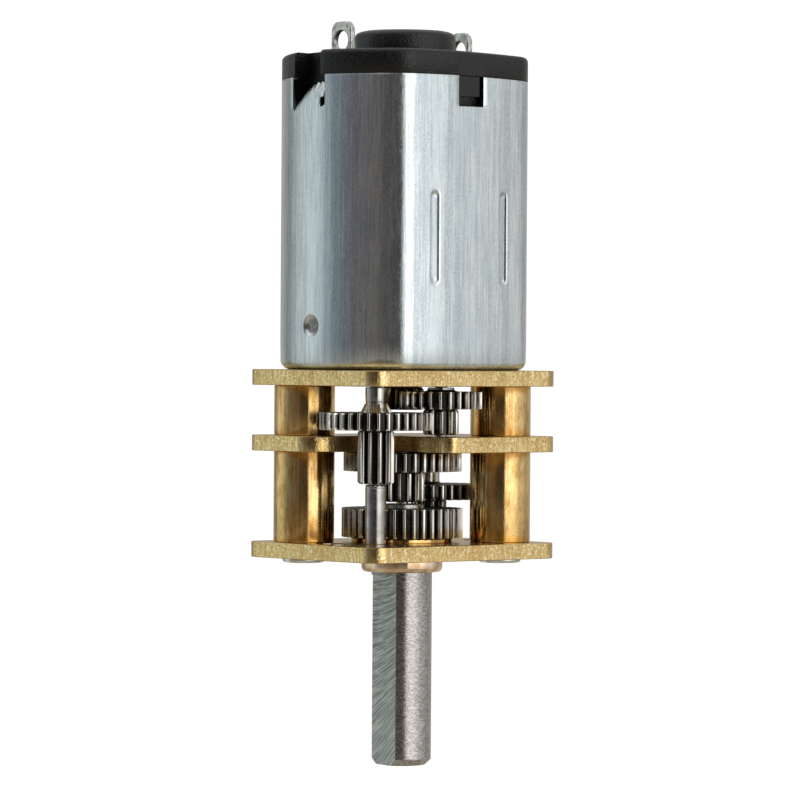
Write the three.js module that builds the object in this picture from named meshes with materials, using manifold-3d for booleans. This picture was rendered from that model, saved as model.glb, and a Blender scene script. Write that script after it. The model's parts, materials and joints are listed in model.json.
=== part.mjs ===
// A miniature metal gearmotor: a brushed motor in a double-D steel can, driving a five-stage spur
// gear train between three brass plates, with a D-cut output shaft.
// Millimetres. The origin is where the output axis meets the outer face of the front plate.
// +Z runs along the output axis towards the motor, X along the 12 mm side, Y along the 10 mm side.
import * as THREE from 'three';
import Module from 'manifold-3d';
import { mergeVertices } from 'three/addons/utils/BufferGeometryUtils.js';

const wasm = await Module();
wasm.setup();

// ---------- Driving dimensions ----------

// Gearbox frame: three plates held apart by two pairs of pillars.
const PLATE_LENGTH = 12;
const PLATE_WIDTH = 10;
const PLATE_THICKNESS = 0.78;
const PLATE_CORNER = 0.87;
const LOWER_GAP = 4.48;
const UPPER_GAP = 2.46;
const PILLAR_RADIUS = 1.5;
const PILLAR_X = 4.15;
const PILLAR_Y = 2.6;
const NOTCH_CORNER = [-1.27, -0.2];
const NOTCH_RADII = { entry: 1.15, corner: 0.25, exit: 0.6 };
const BEARING_CLEARANCE = 0.05;
const MOUNT_HOLE_X = 4.5;
const MOUNT_HOLE_RADIUS = 0.8;

const FRONT_FACE = 0;
const MIDDLE_PLATE = PLATE_THICKNESS + LOWER_GAP;
const REAR_PLATE = MIDDLE_PLATE + PLATE_THICKNESS + UPPER_GAP;
const MOTOR_FACE = REAR_PLATE + PLATE_THICKNESS;

// Screws: two long ones hold the frame together, two countersunk ones hold the motor.
const SCREW_RADIUS = 0.6;
const SCREW_HEAD_RADIUS = 1.05;
const SCREW_HEAD_HEIGHT = 0.25;
const SCREW_END_GAP = 0.1;
const SCREW_SLOT = { halfWidth: 0.14, depth: 0.13 };
const MOTOR_SCREW_X = 3.9;
const MOTOR_SCREW_RADIUS = 0.48;
const MOTOR_SCREW_HEAD_RADIUS = 0.9;
const MOTOR_SCREW_HEAD_HEIGHT = 0.42;
const MOTOR_SCREW_REACH = 1.2;
const MOTOR_SCREW_SLOT = { halfWidth: 0.1, depth: 0.18 };
const MOTOR_SCREW_SIDES = 16;

// Gear train. Every stage is module 0.15, with its centres spread a little for running clearance.
const MODULE = 0.15;
const PRESSURE_ANGLE = THREE.MathUtils.degToRad(20);
const ADDENDUM = 1;
const DEDENDUM = 1.25;
const BACKLASH = 0.012;
const ROOT_RELIEF = 0.8;
const CENTRE_SPREAD = 0.02;
const STRAIGHT_FLANK_TEETH = 20; // from this count up, a flank is straight within a hundredth
const MOTOR_TEETH = 12;
const FIRST_GEAR = { wheel: 25, pinion: 10 };
const SECOND_GEAR = { wheel: 35, pinion: 10 };
const THIRD_GEAR = { wheel: 37, pinion: 13 };
const FOURTH_GEAR = { wheel: 35, pinion: 10 };
const OUTPUT_TEETH = 38;
const SECOND_GEAR_ANGLE = THREE.MathUtils.degToRad(208.15);
const FOURTH_GEAR_ANGLE = SECOND_GEAR_ANGLE - Math.PI;

// Heights of the gears above the front face.
const OUTPUT_GEAR = [1.02, 2.46];
const OUTPUT_HUB_TOP = 2.66;
const THIRD_PINION = [2.76, 4.28];
const THIRD_WHEEL = [4.28, 5.19];
const FOURTH_PINION = [1.02, 2.81];
const FOURTH_WHEEL = [2.81, 3.56];
const FOURTH_HUB_TOP = 5.19;
const SECOND_PINION = [3.72, 6.36];
const SECOND_WHEEL = [6.36, 7.21];
const SECOND_CONE_TOP = 7.63;
const FIRST_PINION = [6.12, 7.39];
const FIRST_WHEEL = [7.39, 8.24];
const MOTOR_PINION = [7.31, 8.44];
const UPPER_HUB_TOP = 8.44;
const SMALL_HUB_RADIUS = 0.54;
const FIRST_HUB_RADIUS = 0.66;
const CONE_RADIUS = 0.78;
const OUTPUT_HUB_RADIUS = 1.05;

// Arbors and the gears that run on them.
const ARBOR_RADIUS = 0.3;
const ARBOR_BORE = 0.33;
const ARBOR_SEAT = 0.12;
const CENTRE_ARBOR_BOTTOM = 1.8;
const SPACER_RADIUS = 0.513;
const FIT_GAP = 0.01;
const OVERLAP = 0.1; // how far two solids reach into each other where they are joined

// Output shaft and its bearing.
const SHAFT_RADIUS = 1.5;
const SHAFT_REACH = 10.24;
const SHAFT_CHAMFER = 0.3;
const FLAT_DISTANCE = 1;
const FLAT_ANGLE = THREE.MathUtils.degToRad(171);
const FLAT_STOP = 0.84;
const BUSHING_FLANGE_RADIUS = 2.01;
const BUSHING_FLANGE_HEIGHT = 0.69;
const BUSHING_NECK_RADIUS = 1.8;
const BUSHING_BORE = 1.53;
const BUSHING_EDGE = 0.12;
const WASHER_RADIUS = 2.53;
const WASHER_THICKNESS = 0.2;

// Motor can: two round sides, two flat sides, soft corners between them.
const CAN_RADIUS = 6.08;
const CAN_FLAT = 5;
const CAN_CORNER = 1.5;
const CAN_WALL = 0.5;
const CAN_EDGE = 0.5;
const CAN_HEIGHT = 14.35;
const RIB_X = 2.2;
const RIB_WIDTH = 0.7;
const RIB_BOTTOM = 13.36;
const RIB_TOP = 18.16;
const DIMPLE_HEIGHT = 11.41;
const DIMPLE_RADIUS = 0.5;
const DENT_DEPTH = 0.15;
const KEY_WIDTH = 1.58;
const KEY_DEPTH = 1.5;
const KEY_TAB_WIDTH = 1.36;
const KEY_TAB_DEPTH = 1.03;
const CRIMP_WIDTH = 2.2;
const CRIMP_DEPTH = 1.5;
const CRIMP_LEAN = 0.75;
const TONGUE = { gap: 0.15, step: 0.1, root: 0.2, tip: 0.3, rise: 0.1 };
const CAN_TOP = MOTOR_FACE + CAN_HEIGHT;

// End cap and terminals.
const CAP_FLANGE = 1.22;
const CAP_EDGE = 0.25;
const CAP_PLUG_DEPTH = 0.8;
const CAP_PLUG_WALL = 0.9;
const CAP_TOP = CAN_TOP + CAP_FLANGE;
const BOSS_RADIUS = 2.49;
const BOSS_HEIGHT = 1.16;
const BOSS_EDGE = 0.3;
const BOSS_EDGE_RISE = 0.09;
const TERMINAL_WIDTH = 1.44;
const TERMINAL_THICKNESS = 0.3;
const TERMINAL_BOTTOM = 21;
const TERMINAL_TOP = 26.31;
const TERMINAL_EYE = 0.5;
const TERMINAL_EYE_HEIGHT = 25.36;
const TERMINAL_CORNER = 0.5;
const TERMINALS = [
  { name: 'left', x: -4, y: 0, sunk: 0 },
  { name: 'right', x: 4, y: 0.4, sunk: 0.19 },
];

// Motor inside.
const MOTOR_SHAFT_RADIUS = 0.5;
const MOTOR_BORE = 0.52;
const FRONT_BEARING = { radius: 1.5, bottom: 8.6, top: 10.9 };
const REAR_BEARING = { radius: 1.15, bottom: 23.9, top: 25.2 };
const MAGNET = { outer: 5.5, inner: 4.05, bottom: 12, top: 20.5, halfAngle: THREE.MathUtils.degToRad(46) };
const CLIP = { outer: 4.4, inner: 4.15, halfAngle: THREE.MathUtils.degToRad(38) };
const ARMATURE = { radius: 3.9, shoe: 0.55, arm: 1.2, hub: 1.1, bottom: 12.8, top: 19.4 };
const SHOE_HALF_ANGLE = THREE.MathUtils.degToRad(50);
const COIL = { inner: 1.25, outer: 3, width: 2.4, overhang: 0.6, gap: 0.03 };
const COMMUTATOR = { core: 1, radius: 1.35, bottom: 20.3, top: 22.2, halfAngle: THREE.MathUtils.degToRad(55) };
const BRUSH = { contact: 1.43, turn: 2.6, foot: 3.76, thickness: 0.12, bottom: 21, top: 21.8 };

// ---------- Finishes ----------

const FINISHES = {
  brass: { color: 0xc9a55a, roughness: 0.35, metalness: 1 },
  bronze: { color: 0xc79a72, roughness: 0.4, metalness: 1 },
  steel: { color: 0x8d8f90, roughness: 0.35, metalness: 1 },
  platedSteel: { color: 0xa9adb0, roughness: 0.3, metalness: 1 },
  darkSteel: { color: 0x5c5c5e, roughness: 0.4, metalness: 1 },
  tinned: { color: 0xb9bbb8, roughness: 0.35, metalness: 1 },
  copper: { color: 0xb5653a, roughness: 0.35, metalness: 1 },
  ferrite: { color: 0x3a3a3c, roughness: 0.8, metalness: 0 },
  laminations: { color: 0x77797c, roughness: 0.5, metalness: 1 },
  blackNylon: { color: 0x1b1c1e, roughness: 0.55, metalness: 0 },
};

// ---------- Solid helpers ----------

// A closed geometry as a solid that can be cut and joined.
function solidOf(geometry) {
  geometry.deleteAttribute('normal');
  geometry.deleteAttribute('uv');
  const merged = mergeVertices(geometry, 1e-5);
  return new wasm.Manifold(new wasm.Mesh({
    numProp: 3,
    vertProperties: new Float32Array(merged.attributes.position.array),
    triVerts: new Uint32Array(merged.index.array),
  }));
}

function geometryOf(solid) {
  const mesh = solid.getMesh();
  const geometry = new THREE.BufferGeometry();
  geometry.setAttribute('position', new THREE.BufferAttribute(mesh.vertProperties, 3));
  geometry.setIndex(new THREE.BufferAttribute(mesh.triVerts, 1));
  geometry.computeVertexNormals();
  return geometry;
}

const join = (...solids) => solids.reduce((sum, solid) => sum.add(solid));
const cut = (solid, ...tools) => tools.reduce((left, tool) => left.subtract(tool), solid);

// Round pieces that share an axis get the same number of sides, so close fits stay clear.
function sidesFor(radius) {
  if (radius < 0.7) return 16;
  return radius < 2.2 ? 32 : 40;
}

function arcPoints(x, y, radius, from, to, steps) {
  return Array.from({ length: steps + 1 }, (_, i) => {
    const angle = from + ((to - from) * i) / steps;
    return new THREE.Vector2(x + radius * Math.cos(angle), y + radius * Math.sin(angle));
  });
}

function circlePoints(x, y, radius, sides = sidesFor(radius)) {
  return arcPoints(x, y, radius, 0, 2 * Math.PI, sides).slice(0, sides);
}

// A straight prism over a closed outline, from one height to another, with round holes through it.
function prism(outline, bottom, top, holes = []) {
  const shape = new THREE.Shape(outline);
  for (const [x, y, radius, sides] of holes) {
    shape.holes.push(new THREE.Path(circlePoints(x, y, radius, sides)));
  }
  const geometry = new THREE.ExtrudeGeometry(shape, { depth: top - bottom, bevelEnabled: false });
  return solidOf(geometry.translate(0, 0, bottom));
}

const disc = (x, y, radius, bottom, top) => prism(circlePoints(x, y, radius), bottom, top);

const tube = (x, y, radius, bore, bottom, top) =>
  prism(circlePoints(x, y, radius), bottom, top, [[x, y, bore]]);

function box(from, to) {
  const size = to.map((value, i) => value - from[i]);
  const centre = to.map((value, i) => (value + from[i]) / 2);
  return solidOf(new THREE.BoxGeometry(...size).translate(...centre));
}

// A piece turned about a vertical axis; profile points are [radius, height].
function turned(profile, sides, x = 0, y = 0) {
  const points = profile.map(([radius, height]) => new THREE.Vector2(radius, height));
  const geometry = new THREE.LatheGeometry(points, sides).rotateX(Math.PI / 2).translate(x, y, 0);
  return solidOf(geometry);
}

// A ring sector centred on the given direction.
function sector(inner, outer, direction, halfAngle, bottom, top, steps = 12) {
  const outside = arcPoints(0, 0, outer, direction - halfAngle, direction + halfAngle, steps);
  const inside = arcPoints(0, 0, inner, direction + halfAngle, direction - halfAngle, steps);
  return prism([...outside, ...inside], bottom, top);
}

// A closed outline through [x, y, radius] corners, listed counter-clockwise.
function roundedOutline(corners, steps = 6) {
  return corners.flatMap(([x, y, radius], i) => {
    const corner = new THREE.Vector2(x, y);
    const [beforeX, beforeY] = corners.at(i - 1);
    const [afterX, afterY] = corners[(i + 1) % corners.length];
    const back = new THREE.Vector2(beforeX, beforeY).sub(corner).normalize();
    const ahead = new THREE.Vector2(afterX, afterY).sub(corner).normalize();
    const half = Math.acos(back.dot(ahead)) / 2;
    const middle = back.clone().add(ahead).normalize();
    const centre = corner.clone().addScaledVector(middle, radius / Math.sin(half));
    const start = corner.clone().addScaledVector(back, radius / Math.tan(half)).sub(centre).angle();
    const sweep = (Math.PI - 2 * half) * Math.sign(ahead.cross(back));
    return arcPoints(centre.x, centre.y, radius, start, start + sweep, steps);
  });
}

// A closed skin over outlines stacked at rising heights, each with the same number of points.
function loft(layers) {
  const count = layers[0].outline.length;
  const positions = layers.flatMap(({ outline, height }) => outline.flatMap(({ x, y }) => [x, y, height]));
  const faces = THREE.ShapeUtils.triangulateShape(layers[0].outline, []);
  const lift = (layers.length - 1) * count;
  const index = faces.flatMap(([a, b, c]) => [a, c, b, a + lift, b + lift, c + lift]);
  for (let base = 0; base < lift; base += count) {
    for (let i = 0; i < count; i++) {
      const next = (i + 1) % count;
      index.push(base + i, base + next, base + next + count);
      index.push(base + i, base + next + count, base + i + count);
    }
  }
  const geometry = new THREE.BufferGeometry();
  geometry.setAttribute('position', new THREE.Float32BufferAttribute(positions, 3));
  geometry.setIndex(index);
  return solidOf(geometry);
}

// ---------- Gears ----------

const centreDistance = (teeth, otherTeeth) => (MODULE * (teeth + otherTeeth)) / 2 + CENTRE_SPREAD;

const polar = (distance, angle) => new THREE.Vector2(distance * Math.cos(angle), distance * Math.sin(angle));

const MAIN_AXIS = new THREE.Vector2(0, 0);
const SECOND_AXIS = polar(centreDistance(SECOND_GEAR.pinion, THIRD_GEAR.wheel), SECOND_GEAR_ANGLE);
const FOURTH_AXIS = polar(centreDistance(FOURTH_GEAR.pinion, OUTPUT_TEETH), FOURTH_GEAR_ANGLE);
const FIRST_AXIS = firstAxis();

// The first gear meshes with both the motor pinion and the second wheel, so two distances place it.
function firstAxis() {
  const toMotor = centreDistance(MOTOR_TEETH, FIRST_GEAR.wheel);
  const toSecond = centreDistance(FIRST_GEAR.pinion, SECOND_GEAR.wheel);
  const base = SECOND_AXIS.length();
  const spread = Math.acos((base ** 2 + toMotor ** 2 - toSecond ** 2) / (2 * base * toMotor));
  return polar(toMotor, SECOND_GEAR_ANGLE + spread);
}

const involute = angle => Math.tan(angle) - angle;

// Spur gear outline about an axis, with one tooth centred on the phase angle. Flanks follow the
// involute above the base circle; below it they are relieved, as a hobbed pinion's are.
function gearOutline(axis, teeth, phase) {
  const pitch = (MODULE * teeth) / 2;
  const tip = pitch + MODULE * ADDENDUM;
  const root = pitch - MODULE * DEDENDUM;
  const base = pitch * Math.cos(PRESSURE_ANGLE);
  const atPitch = Math.PI / (2 * teeth) - BACKLASH / (2 * pitch) + involute(PRESSURE_ANGLE);
  const halfTooth = radius => atPitch - involute(Math.acos(Math.min(1, base / radius)));
  const rootHalf = root < base ? ROOT_RELIEF * halfTooth(base) : halfTooth(root);
  const bulge = teeth < STRAIGHT_FLANK_TEETH ? [[pitch, halfTooth(pitch)]] : [];
  const flank = [[root, rootHalf], ...bulge, [tip, halfTooth(tip)]];
  const outline = [];
  for (let tooth = 0; tooth < teeth; tooth++) {
    const middle = phase + (2 * Math.PI * tooth) / teeth;
    const rising = flank.map(([radius, half]) => polar(radius, middle - half));
    const falling = flank.map(([radius, half]) => polar(radius, middle + half)).reverse();
    outline.push(...rising, ...falling);
  }
  return outline.map(point => point.add(axis));
}

function gear(axis, teeth, phase, [bottom, top], bore) {
  return prism(gearOutline(axis, teeth, phase), bottom, top, [[axis.x, axis.y, bore]]);
}

// Phases that put a pinion tooth into a wheel gap on the line between their axes.
function meshPhases(pinionAxis, wheelAxis, wheelTeeth) {
  const direction = wheelAxis.clone().sub(pinionAxis).angle();
  return { pinion: direction, wheel: direction + Math.PI + Math.PI / wheelTeeth };
}

const MESH = {
  motorToFirst: meshPhases(MAIN_AXIS, FIRST_AXIS, FIRST_GEAR.wheel),
  firstToSecond: meshPhases(FIRST_AXIS, SECOND_AXIS, SECOND_GEAR.wheel),
  secondToThird: meshPhases(SECOND_AXIS, MAIN_AXIS, THIRD_GEAR.wheel),
  thirdToFourth: meshPhases(MAIN_AXIS, FOURTH_AXIS, FOURTH_GEAR.wheel),
  fourthToOutput: meshPhases(FOURTH_AXIS, MAIN_AXIS, OUTPUT_TEETH),
};

// ---------- Gearbox frame ----------

const PILLARS = [
  { side: 'left', x: -PILLAR_X, y: PILLAR_Y },
  { side: 'right', x: PILLAR_X, y: -PILLAR_Y },
];
const pillarHoles = PILLARS.map(({ x, y }) => [x, y, SCREW_RADIUS + FIT_GAP]);
const arborHole = axis => [axis.x, axis.y, ARBOR_RADIUS + FIT_GAP];
const halfLength = PLATE_LENGTH / 2;
const halfWidth = PLATE_WIDTH / 2;

function plate(bottom, holes) {
  const corners = [[1, 1], [-1, 1], [-1, -1], [1, -1]];
  const outline = roundedOutline(corners.map(([x, y]) => [x * halfLength, y * halfWidth, PLATE_CORNER]));
  return prism(outline, bottom, bottom + PLATE_THICKNESS, [...pillarHoles, ...holes]);
}

function frontPlate() {
  const mountHoles = [-1, 1].map(side => [side * MOUNT_HOLE_X, 0, MOUNT_HOLE_RADIUS]);
  const bushingHole = [0, 0, BUSHING_NECK_RADIUS + FIT_GAP];
  return plate(FRONT_FACE, [...mountHoles, bushingHole, arborHole(SECOND_AXIS), arborHole(FOURTH_AXIS)]);
}

// The middle plate leaves out one corner, where the long second pinion passes.
function middlePlate() {
  const [notchX, notchY] = NOTCH_CORNER;
  const outline = roundedOutline([
    [halfLength, halfWidth, PLATE_CORNER],
    [-halfLength, halfWidth, PLATE_CORNER],
    [-halfLength, notchY, NOTCH_RADII.entry],
    [notchX, notchY, NOTCH_RADII.corner],
    [notchX, -halfWidth, NOTCH_RADII.exit],
    [halfLength, -halfWidth, PLATE_CORNER],
  ]);
  const holes = [...pillarHoles, ...[MAIN_AXIS, FIRST_AXIS, FOURTH_AXIS].map(arborHole)];
  return prism(outline, MIDDLE_PLATE, MIDDLE_PLATE + PLATE_THICKNESS, holes);
}

function motorScrewProfile(gap, reach) {
  const head = REAR_PLATE + MOTOR_SCREW_HEAD_HEIGHT;
  return [
    [0, REAR_PLATE],
    [MOTOR_SCREW_HEAD_RADIUS + gap, REAR_PLATE],
    [MOTOR_SCREW_RADIUS + gap, head],
    [MOTOR_SCREW_RADIUS + gap, MOTOR_FACE + reach],
    [0, MOTOR_FACE + reach],
  ];
}

function rearPlate() {
  const bearingHole = [0, 0, FRONT_BEARING.radius + BEARING_CLEARANCE];
  const countersinks = [-1, 1].map(side =>
    turned(motorScrewProfile(FIT_GAP, FIT_GAP), MOTOR_SCREW_SIDES, side * MOTOR_SCREW_X));
  const blank = plate(REAR_PLATE, [bearingHole, arborHole(FIRST_AXIS), arborHole(SECOND_AXIS)]);
  return cut(blank, ...countersinks);
}

const pillar = ({ x, y }, bottom, top) => tube(x, y, PILLAR_RADIUS, SCREW_RADIUS + FIT_GAP, bottom, top);

function frameScrew({ x, y }) {
  const head = disc(x, y, SCREW_HEAD_RADIUS, -SCREW_HEAD_HEIGHT, FRONT_FACE);
  const shank = disc(x, y, SCREW_RADIUS, FRONT_FACE - OVERLAP, MOTOR_FACE - SCREW_END_GAP);
  const { halfWidth: halfSlot, depth } = SCREW_SLOT;
  const reach = SCREW_HEAD_RADIUS + 1;
  const slot = box([x - reach, y - halfSlot, -SCREW_HEAD_HEIGHT - 1],
    [x + reach, y + halfSlot, depth - SCREW_HEAD_HEIGHT]);
  return cut(join(head, shank), slot);
}

function motorScrew(side) {
  const x = side * MOTOR_SCREW_X;
  const { halfWidth: halfSlot, depth } = MOTOR_SCREW_SLOT;
  const slot = box([x - 1, -halfSlot, REAR_PLATE - 1], [x + 1, halfSlot, REAR_PLATE + depth]);
  return cut(turned(motorScrewProfile(0, MOTOR_SCREW_REACH), MOTOR_SCREW_SIDES, x), slot);
}

// ---------- Output ----------

function outputShaft() {
  const tip = -SHAFT_REACH;
  const body = turned([
    [0, tip],
    [SHAFT_RADIUS - SHAFT_CHAMFER, tip],
    [SHAFT_RADIUS, tip + SHAFT_CHAMFER],
    [SHAFT_RADIUS, OUTPUT_GEAR[0]],
    [OUTPUT_HUB_RADIUS, OUTPUT_GEAR[0]],
    [OUTPUT_HUB_RADIUS, OUTPUT_HUB_TOP],
    [ARBOR_BORE, OUTPUT_HUB_TOP],
    [ARBOR_BORE, CENTRE_ARBOR_BOTTOM - 0.1],
    [0, CENTRE_ARBOR_BOTTOM - 0.1],
  ], sidesFor(SHAFT_RADIUS));
  const waste = new THREE.BoxGeometry(2, 4, SHAFT_REACH);
  waste.translate(FLAT_DISTANCE + 1, 0, -FLAT_STOP - SHAFT_REACH / 2).rotateZ(FLAT_ANGLE);
  return cut(body, solidOf(waste));
}

function outputBushing() {
  const flange = -BUSHING_FLANGE_HEIGHT;
  return turned([
    [BUSHING_BORE, flange],
    [BUSHING_FLANGE_RADIUS - BUSHING_EDGE, flange],
    [BUSHING_FLANGE_RADIUS, flange + BUSHING_EDGE],
    [BUSHING_FLANGE_RADIUS, FRONT_FACE],
    [BUSHING_NECK_RADIUS, FRONT_FACE],
    [BUSHING_NECK_RADIUS, PLATE_THICKNESS],
    [BUSHING_BORE, PLATE_THICKNESS],
    [BUSHING_BORE, flange],
  ], sidesFor(BUSHING_NECK_RADIUS));
}

function thrustWasher() {
  return tube(0, 0, WASHER_RADIUS, BUSHING_BORE, PLATE_THICKNESS, PLATE_THICKNESS + WASHER_THICKNESS);
}

// ---------- Gears with hubs ----------

function firstWheel() {
  const teeth = gear(FIRST_AXIS, FIRST_GEAR.wheel, MESH.motorToFirst.wheel, FIRST_WHEEL, ARBOR_BORE);
  const { x, y } = FIRST_AXIS;
  return join(teeth, tube(x, y, FIRST_HUB_RADIUS, ARBOR_BORE, FIRST_WHEEL[1] - OVERLAP, UPPER_HUB_TOP));
}

function secondWheel() {
  const teeth = gear(SECOND_AXIS, SECOND_GEAR.wheel, MESH.firstToSecond.wheel, SECOND_WHEEL, ARBOR_BORE);
  const cone = turned([
    [ARBOR_BORE, SECOND_WHEEL[1] - OVERLAP],
    [CONE_RADIUS, SECOND_WHEEL[1] - OVERLAP],
    [CONE_RADIUS, SECOND_WHEEL[1]],
    [SMALL_HUB_RADIUS, SECOND_CONE_TOP],
    [SMALL_HUB_RADIUS, UPPER_HUB_TOP],
    [ARBOR_BORE, UPPER_HUB_TOP],
    [ARBOR_BORE, SECOND_WHEEL[1] - OVERLAP],
  ], sidesFor(ARBOR_BORE), SECOND_AXIS.x, SECOND_AXIS.y);
  return join(teeth, cone);
}

function fourthWheel() {
  const teeth = gear(FOURTH_AXIS, FOURTH_GEAR.wheel, MESH.thirdToFourth.wheel, FOURTH_WHEEL, ARBOR_BORE);
  const { x, y } = FOURTH_AXIS;
  return join(teeth, tube(x, y, SMALL_HUB_RADIUS, ARBOR_BORE, FOURTH_WHEEL[1] - OVERLAP, FOURTH_HUB_TOP));
}

// ---------- Motor can and cap ----------

// The double-D outline of the can, shrunk inwards all round by the inset.
function canOutline(inset) {
  const across = CAN_FLAT - CAN_CORNER;
  const along = Math.sqrt((CAN_RADIUS - CAN_CORNER) ** 2 - across ** 2);
  const tangent = Math.atan2(across, along);
  const corner = CAN_CORNER - inset;
  const halfSide = [
    ...arcPoints(along, -across, corner, -Math.PI / 2, -tangent, 4),
    ...arcPoints(0, 0, CAN_RADIUS - inset, -tangent, tangent, 10).slice(1, -1),
    ...arcPoints(along, across, corner, tangent, Math.PI / 2, 4),
  ];
  return [...halfSide, ...halfSide.map(({ x, y }) => new THREE.Vector2(-x, -y))];
}

// Outline layers of a quarter-round edge: it starts inset by the radius and ends flush, or the reverse.
function roundedEdge(radius, height, rising, steps = 2) {
  return Array.from({ length: steps + 1 }, (_, i) => {
    const angle = ((rising ? i : steps - i) * Math.PI) / (2 * steps);
    const inset = radius * (1 - Math.sin(angle));
    const rise = radius * (1 - Math.cos(angle));
    return { outline: canOutline(inset), height: rising ? height + rise : height - rise };
  });
}

// An upright slot-shaped dent tool for a flat side.
function ribTool(x, side) {
  const radius = RIB_WIDTH / 2;
  const lower = arcPoints(x, RIB_BOTTOM + radius, radius, Math.PI, 2 * Math.PI, 8);
  const upper = arcPoints(x, RIB_TOP - radius, radius, 0, Math.PI, 8);
  const shape = new THREE.Shape([...lower, ...upper]);
  const geometry = new THREE.ExtrudeGeometry(shape, { depth: 1, bevelEnabled: false });
  geometry.rotateX(Math.PI / 2).translate(0, CAN_FLAT - DENT_DEPTH + 1, 0);
  return solidOf(side > 0 ? geometry : geometry.rotateZ(Math.PI));
}

// A round dent tool for a round side.
function dimpleTool(side) {
  const geometry = new THREE.CylinderGeometry(DIMPLE_RADIUS, DIMPLE_RADIUS, 1, 16).rotateZ(Math.PI / 2);
  return solidOf(geometry.translate(side * (CAN_RADIUS - DENT_DEPTH + 0.5), 0, DIMPLE_HEIGHT));
}

// The tongue between two slits on a round side, bent inwards over the cap.
function crimpTongue(side) {
  const root = CAN_TOP - CRIMP_DEPTH - TONGUE.root;
  const outer = CAN_RADIUS - TONGUE.step;
  const tip = CAN_TOP + TONGUE.rise;
  const profile = new THREE.Shape([
    new THREE.Vector2(CAN_RADIUS - CAN_WALL - 0.05, root),
    new THREE.Vector2(outer, root),
    new THREE.Vector2(outer - CRIMP_LEAN, tip),
    new THREE.Vector2(outer - CRIMP_LEAN - TONGUE.tip, tip),
  ]);
  const width = CRIMP_WIDTH - 2 * TONGUE.gap;
  const geometry = new THREE.ExtrudeGeometry(profile, { depth: width, bevelEnabled: false });
  geometry.rotateX(Math.PI / 2).translate(0, width / 2, 0);
  return solidOf(side > 0 ? geometry : geometry.rotateZ(Math.PI));
}

function motorCan() {
  const outside = loft([
    ...roundedEdge(CAN_EDGE, MOTOR_FACE, true),
    { outline: canOutline(0), height: CAN_TOP },
  ]);
  const inside = prism(canOutline(CAN_WALL), MOTOR_FACE + CAN_WALL, CAN_TOP + 1);
  const bearingHole = disc(0, 0, FRONT_BEARING.radius + FIT_GAP, MOTOR_FACE - 1, MOTOR_FACE + 1);
  const tools = [inside, bearingHole];
  for (const side of [-1, 1]) {
    const keyBack = side * (CAN_FLAT - 1);
    const keyFront = side * (CAN_FLAT + 1);
    tools.push(box(
      [-KEY_WIDTH / 2, Math.min(keyBack, keyFront), CAN_TOP - KEY_DEPTH],
      [KEY_WIDTH / 2, Math.max(keyBack, keyFront), CAN_TOP + 1],
    ));
    const crimpBack = side * (CAN_RADIUS - 1);
    const crimpFront = side * (CAN_RADIUS + 1);
    tools.push(box(
      [Math.min(crimpBack, crimpFront), -CRIMP_WIDTH / 2, CAN_TOP - CRIMP_DEPTH],
      [Math.max(crimpBack, crimpFront), CRIMP_WIDTH / 2, CAN_TOP + 1],
    ));
    tools.push(ribTool(-RIB_X, side), ribTool(RIB_X, side), dimpleTool(side));
    const screwHole = MOTOR_SCREW_RADIUS + FIT_GAP;
    tools.push(disc(side * MOTOR_SCREW_X, 0, screwHole, MOTOR_FACE - 1, MOTOR_FACE + 1));
  }
  return join(cut(outside, ...tools), crimpTongue(-1), crimpTongue(1));
}

function endCap() {
  const flange = loft([
    { outline: canOutline(0), height: CAN_TOP },
    ...roundedEdge(CAP_EDGE, CAP_TOP, false),
  ]);
  const plugInset = CAN_WALL + 0.02;
  const plug = cut(
    prism(canOutline(plugInset), CAN_TOP - CAP_PLUG_DEPTH, CAN_TOP + OVERLAP),
    prism(canOutline(plugInset + CAP_PLUG_WALL), CAN_TOP - CAP_PLUG_DEPTH - 1, CAN_TOP),
  );
  const bossTop = CAP_TOP + BOSS_HEIGHT;
  const boss = turned([
    [0, CAP_TOP - OVERLAP],
    [BOSS_RADIUS, CAP_TOP - OVERLAP],
    [BOSS_RADIUS, bossTop - BOSS_EDGE],
    [BOSS_RADIUS - BOSS_EDGE_RISE, bossTop - BOSS_EDGE_RISE],
    [BOSS_RADIUS - BOSS_EDGE, bossTop],
    [0, bossTop],
  ], sidesFor(BOSS_RADIUS));
  const keys = [-1, 1].map(side => {
    const back = side * (CAN_FLAT - 0.9);
    const front = side * (CAN_FLAT - 0.02);
    return box(
      [-KEY_TAB_WIDTH / 2, Math.min(back, front), CAN_TOP - KEY_TAB_DEPTH],
      [KEY_TAB_WIDTH / 2, Math.max(back, front), CAN_TOP + OVERLAP],
    );
  });
  const tools = [
    disc(0, 0, REAR_BEARING.radius + FIT_GAP, CAN_TOP - 1, REAR_BEARING.top + 0.1),
    disc(0, 0, MOTOR_BORE + 0.1, CAN_TOP, bossTop + 1),
  ];
  for (const { x, y } of TERMINALS) {
    const halfSlot = TERMINAL_THICKNESS / 2 + FIT_GAP;
    const halfTag = TERMINAL_WIDTH / 2 + FIT_GAP;
    tools.push(box([x - halfSlot, y - halfTag, CAN_TOP - 1], [x + halfSlot, y + halfTag, CAP_TOP + 1]));
  }
  for (const side of [-1, 1]) {
    const pocketBack = side * (CAN_RADIUS - CRIMP_LEAN - 0.5);
    const pocketFront = side * (CAN_RADIUS + 1);
    tools.push(box(
      [Math.min(pocketBack, pocketFront), -CRIMP_WIDTH / 2, CAN_TOP - 1],
      [Math.max(pocketBack, pocketFront), CRIMP_WIDTH / 2, CAP_TOP + 1],
    ));
  }
  return cut(join(flange, plug, boss, ...keys), ...tools);
}

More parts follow.
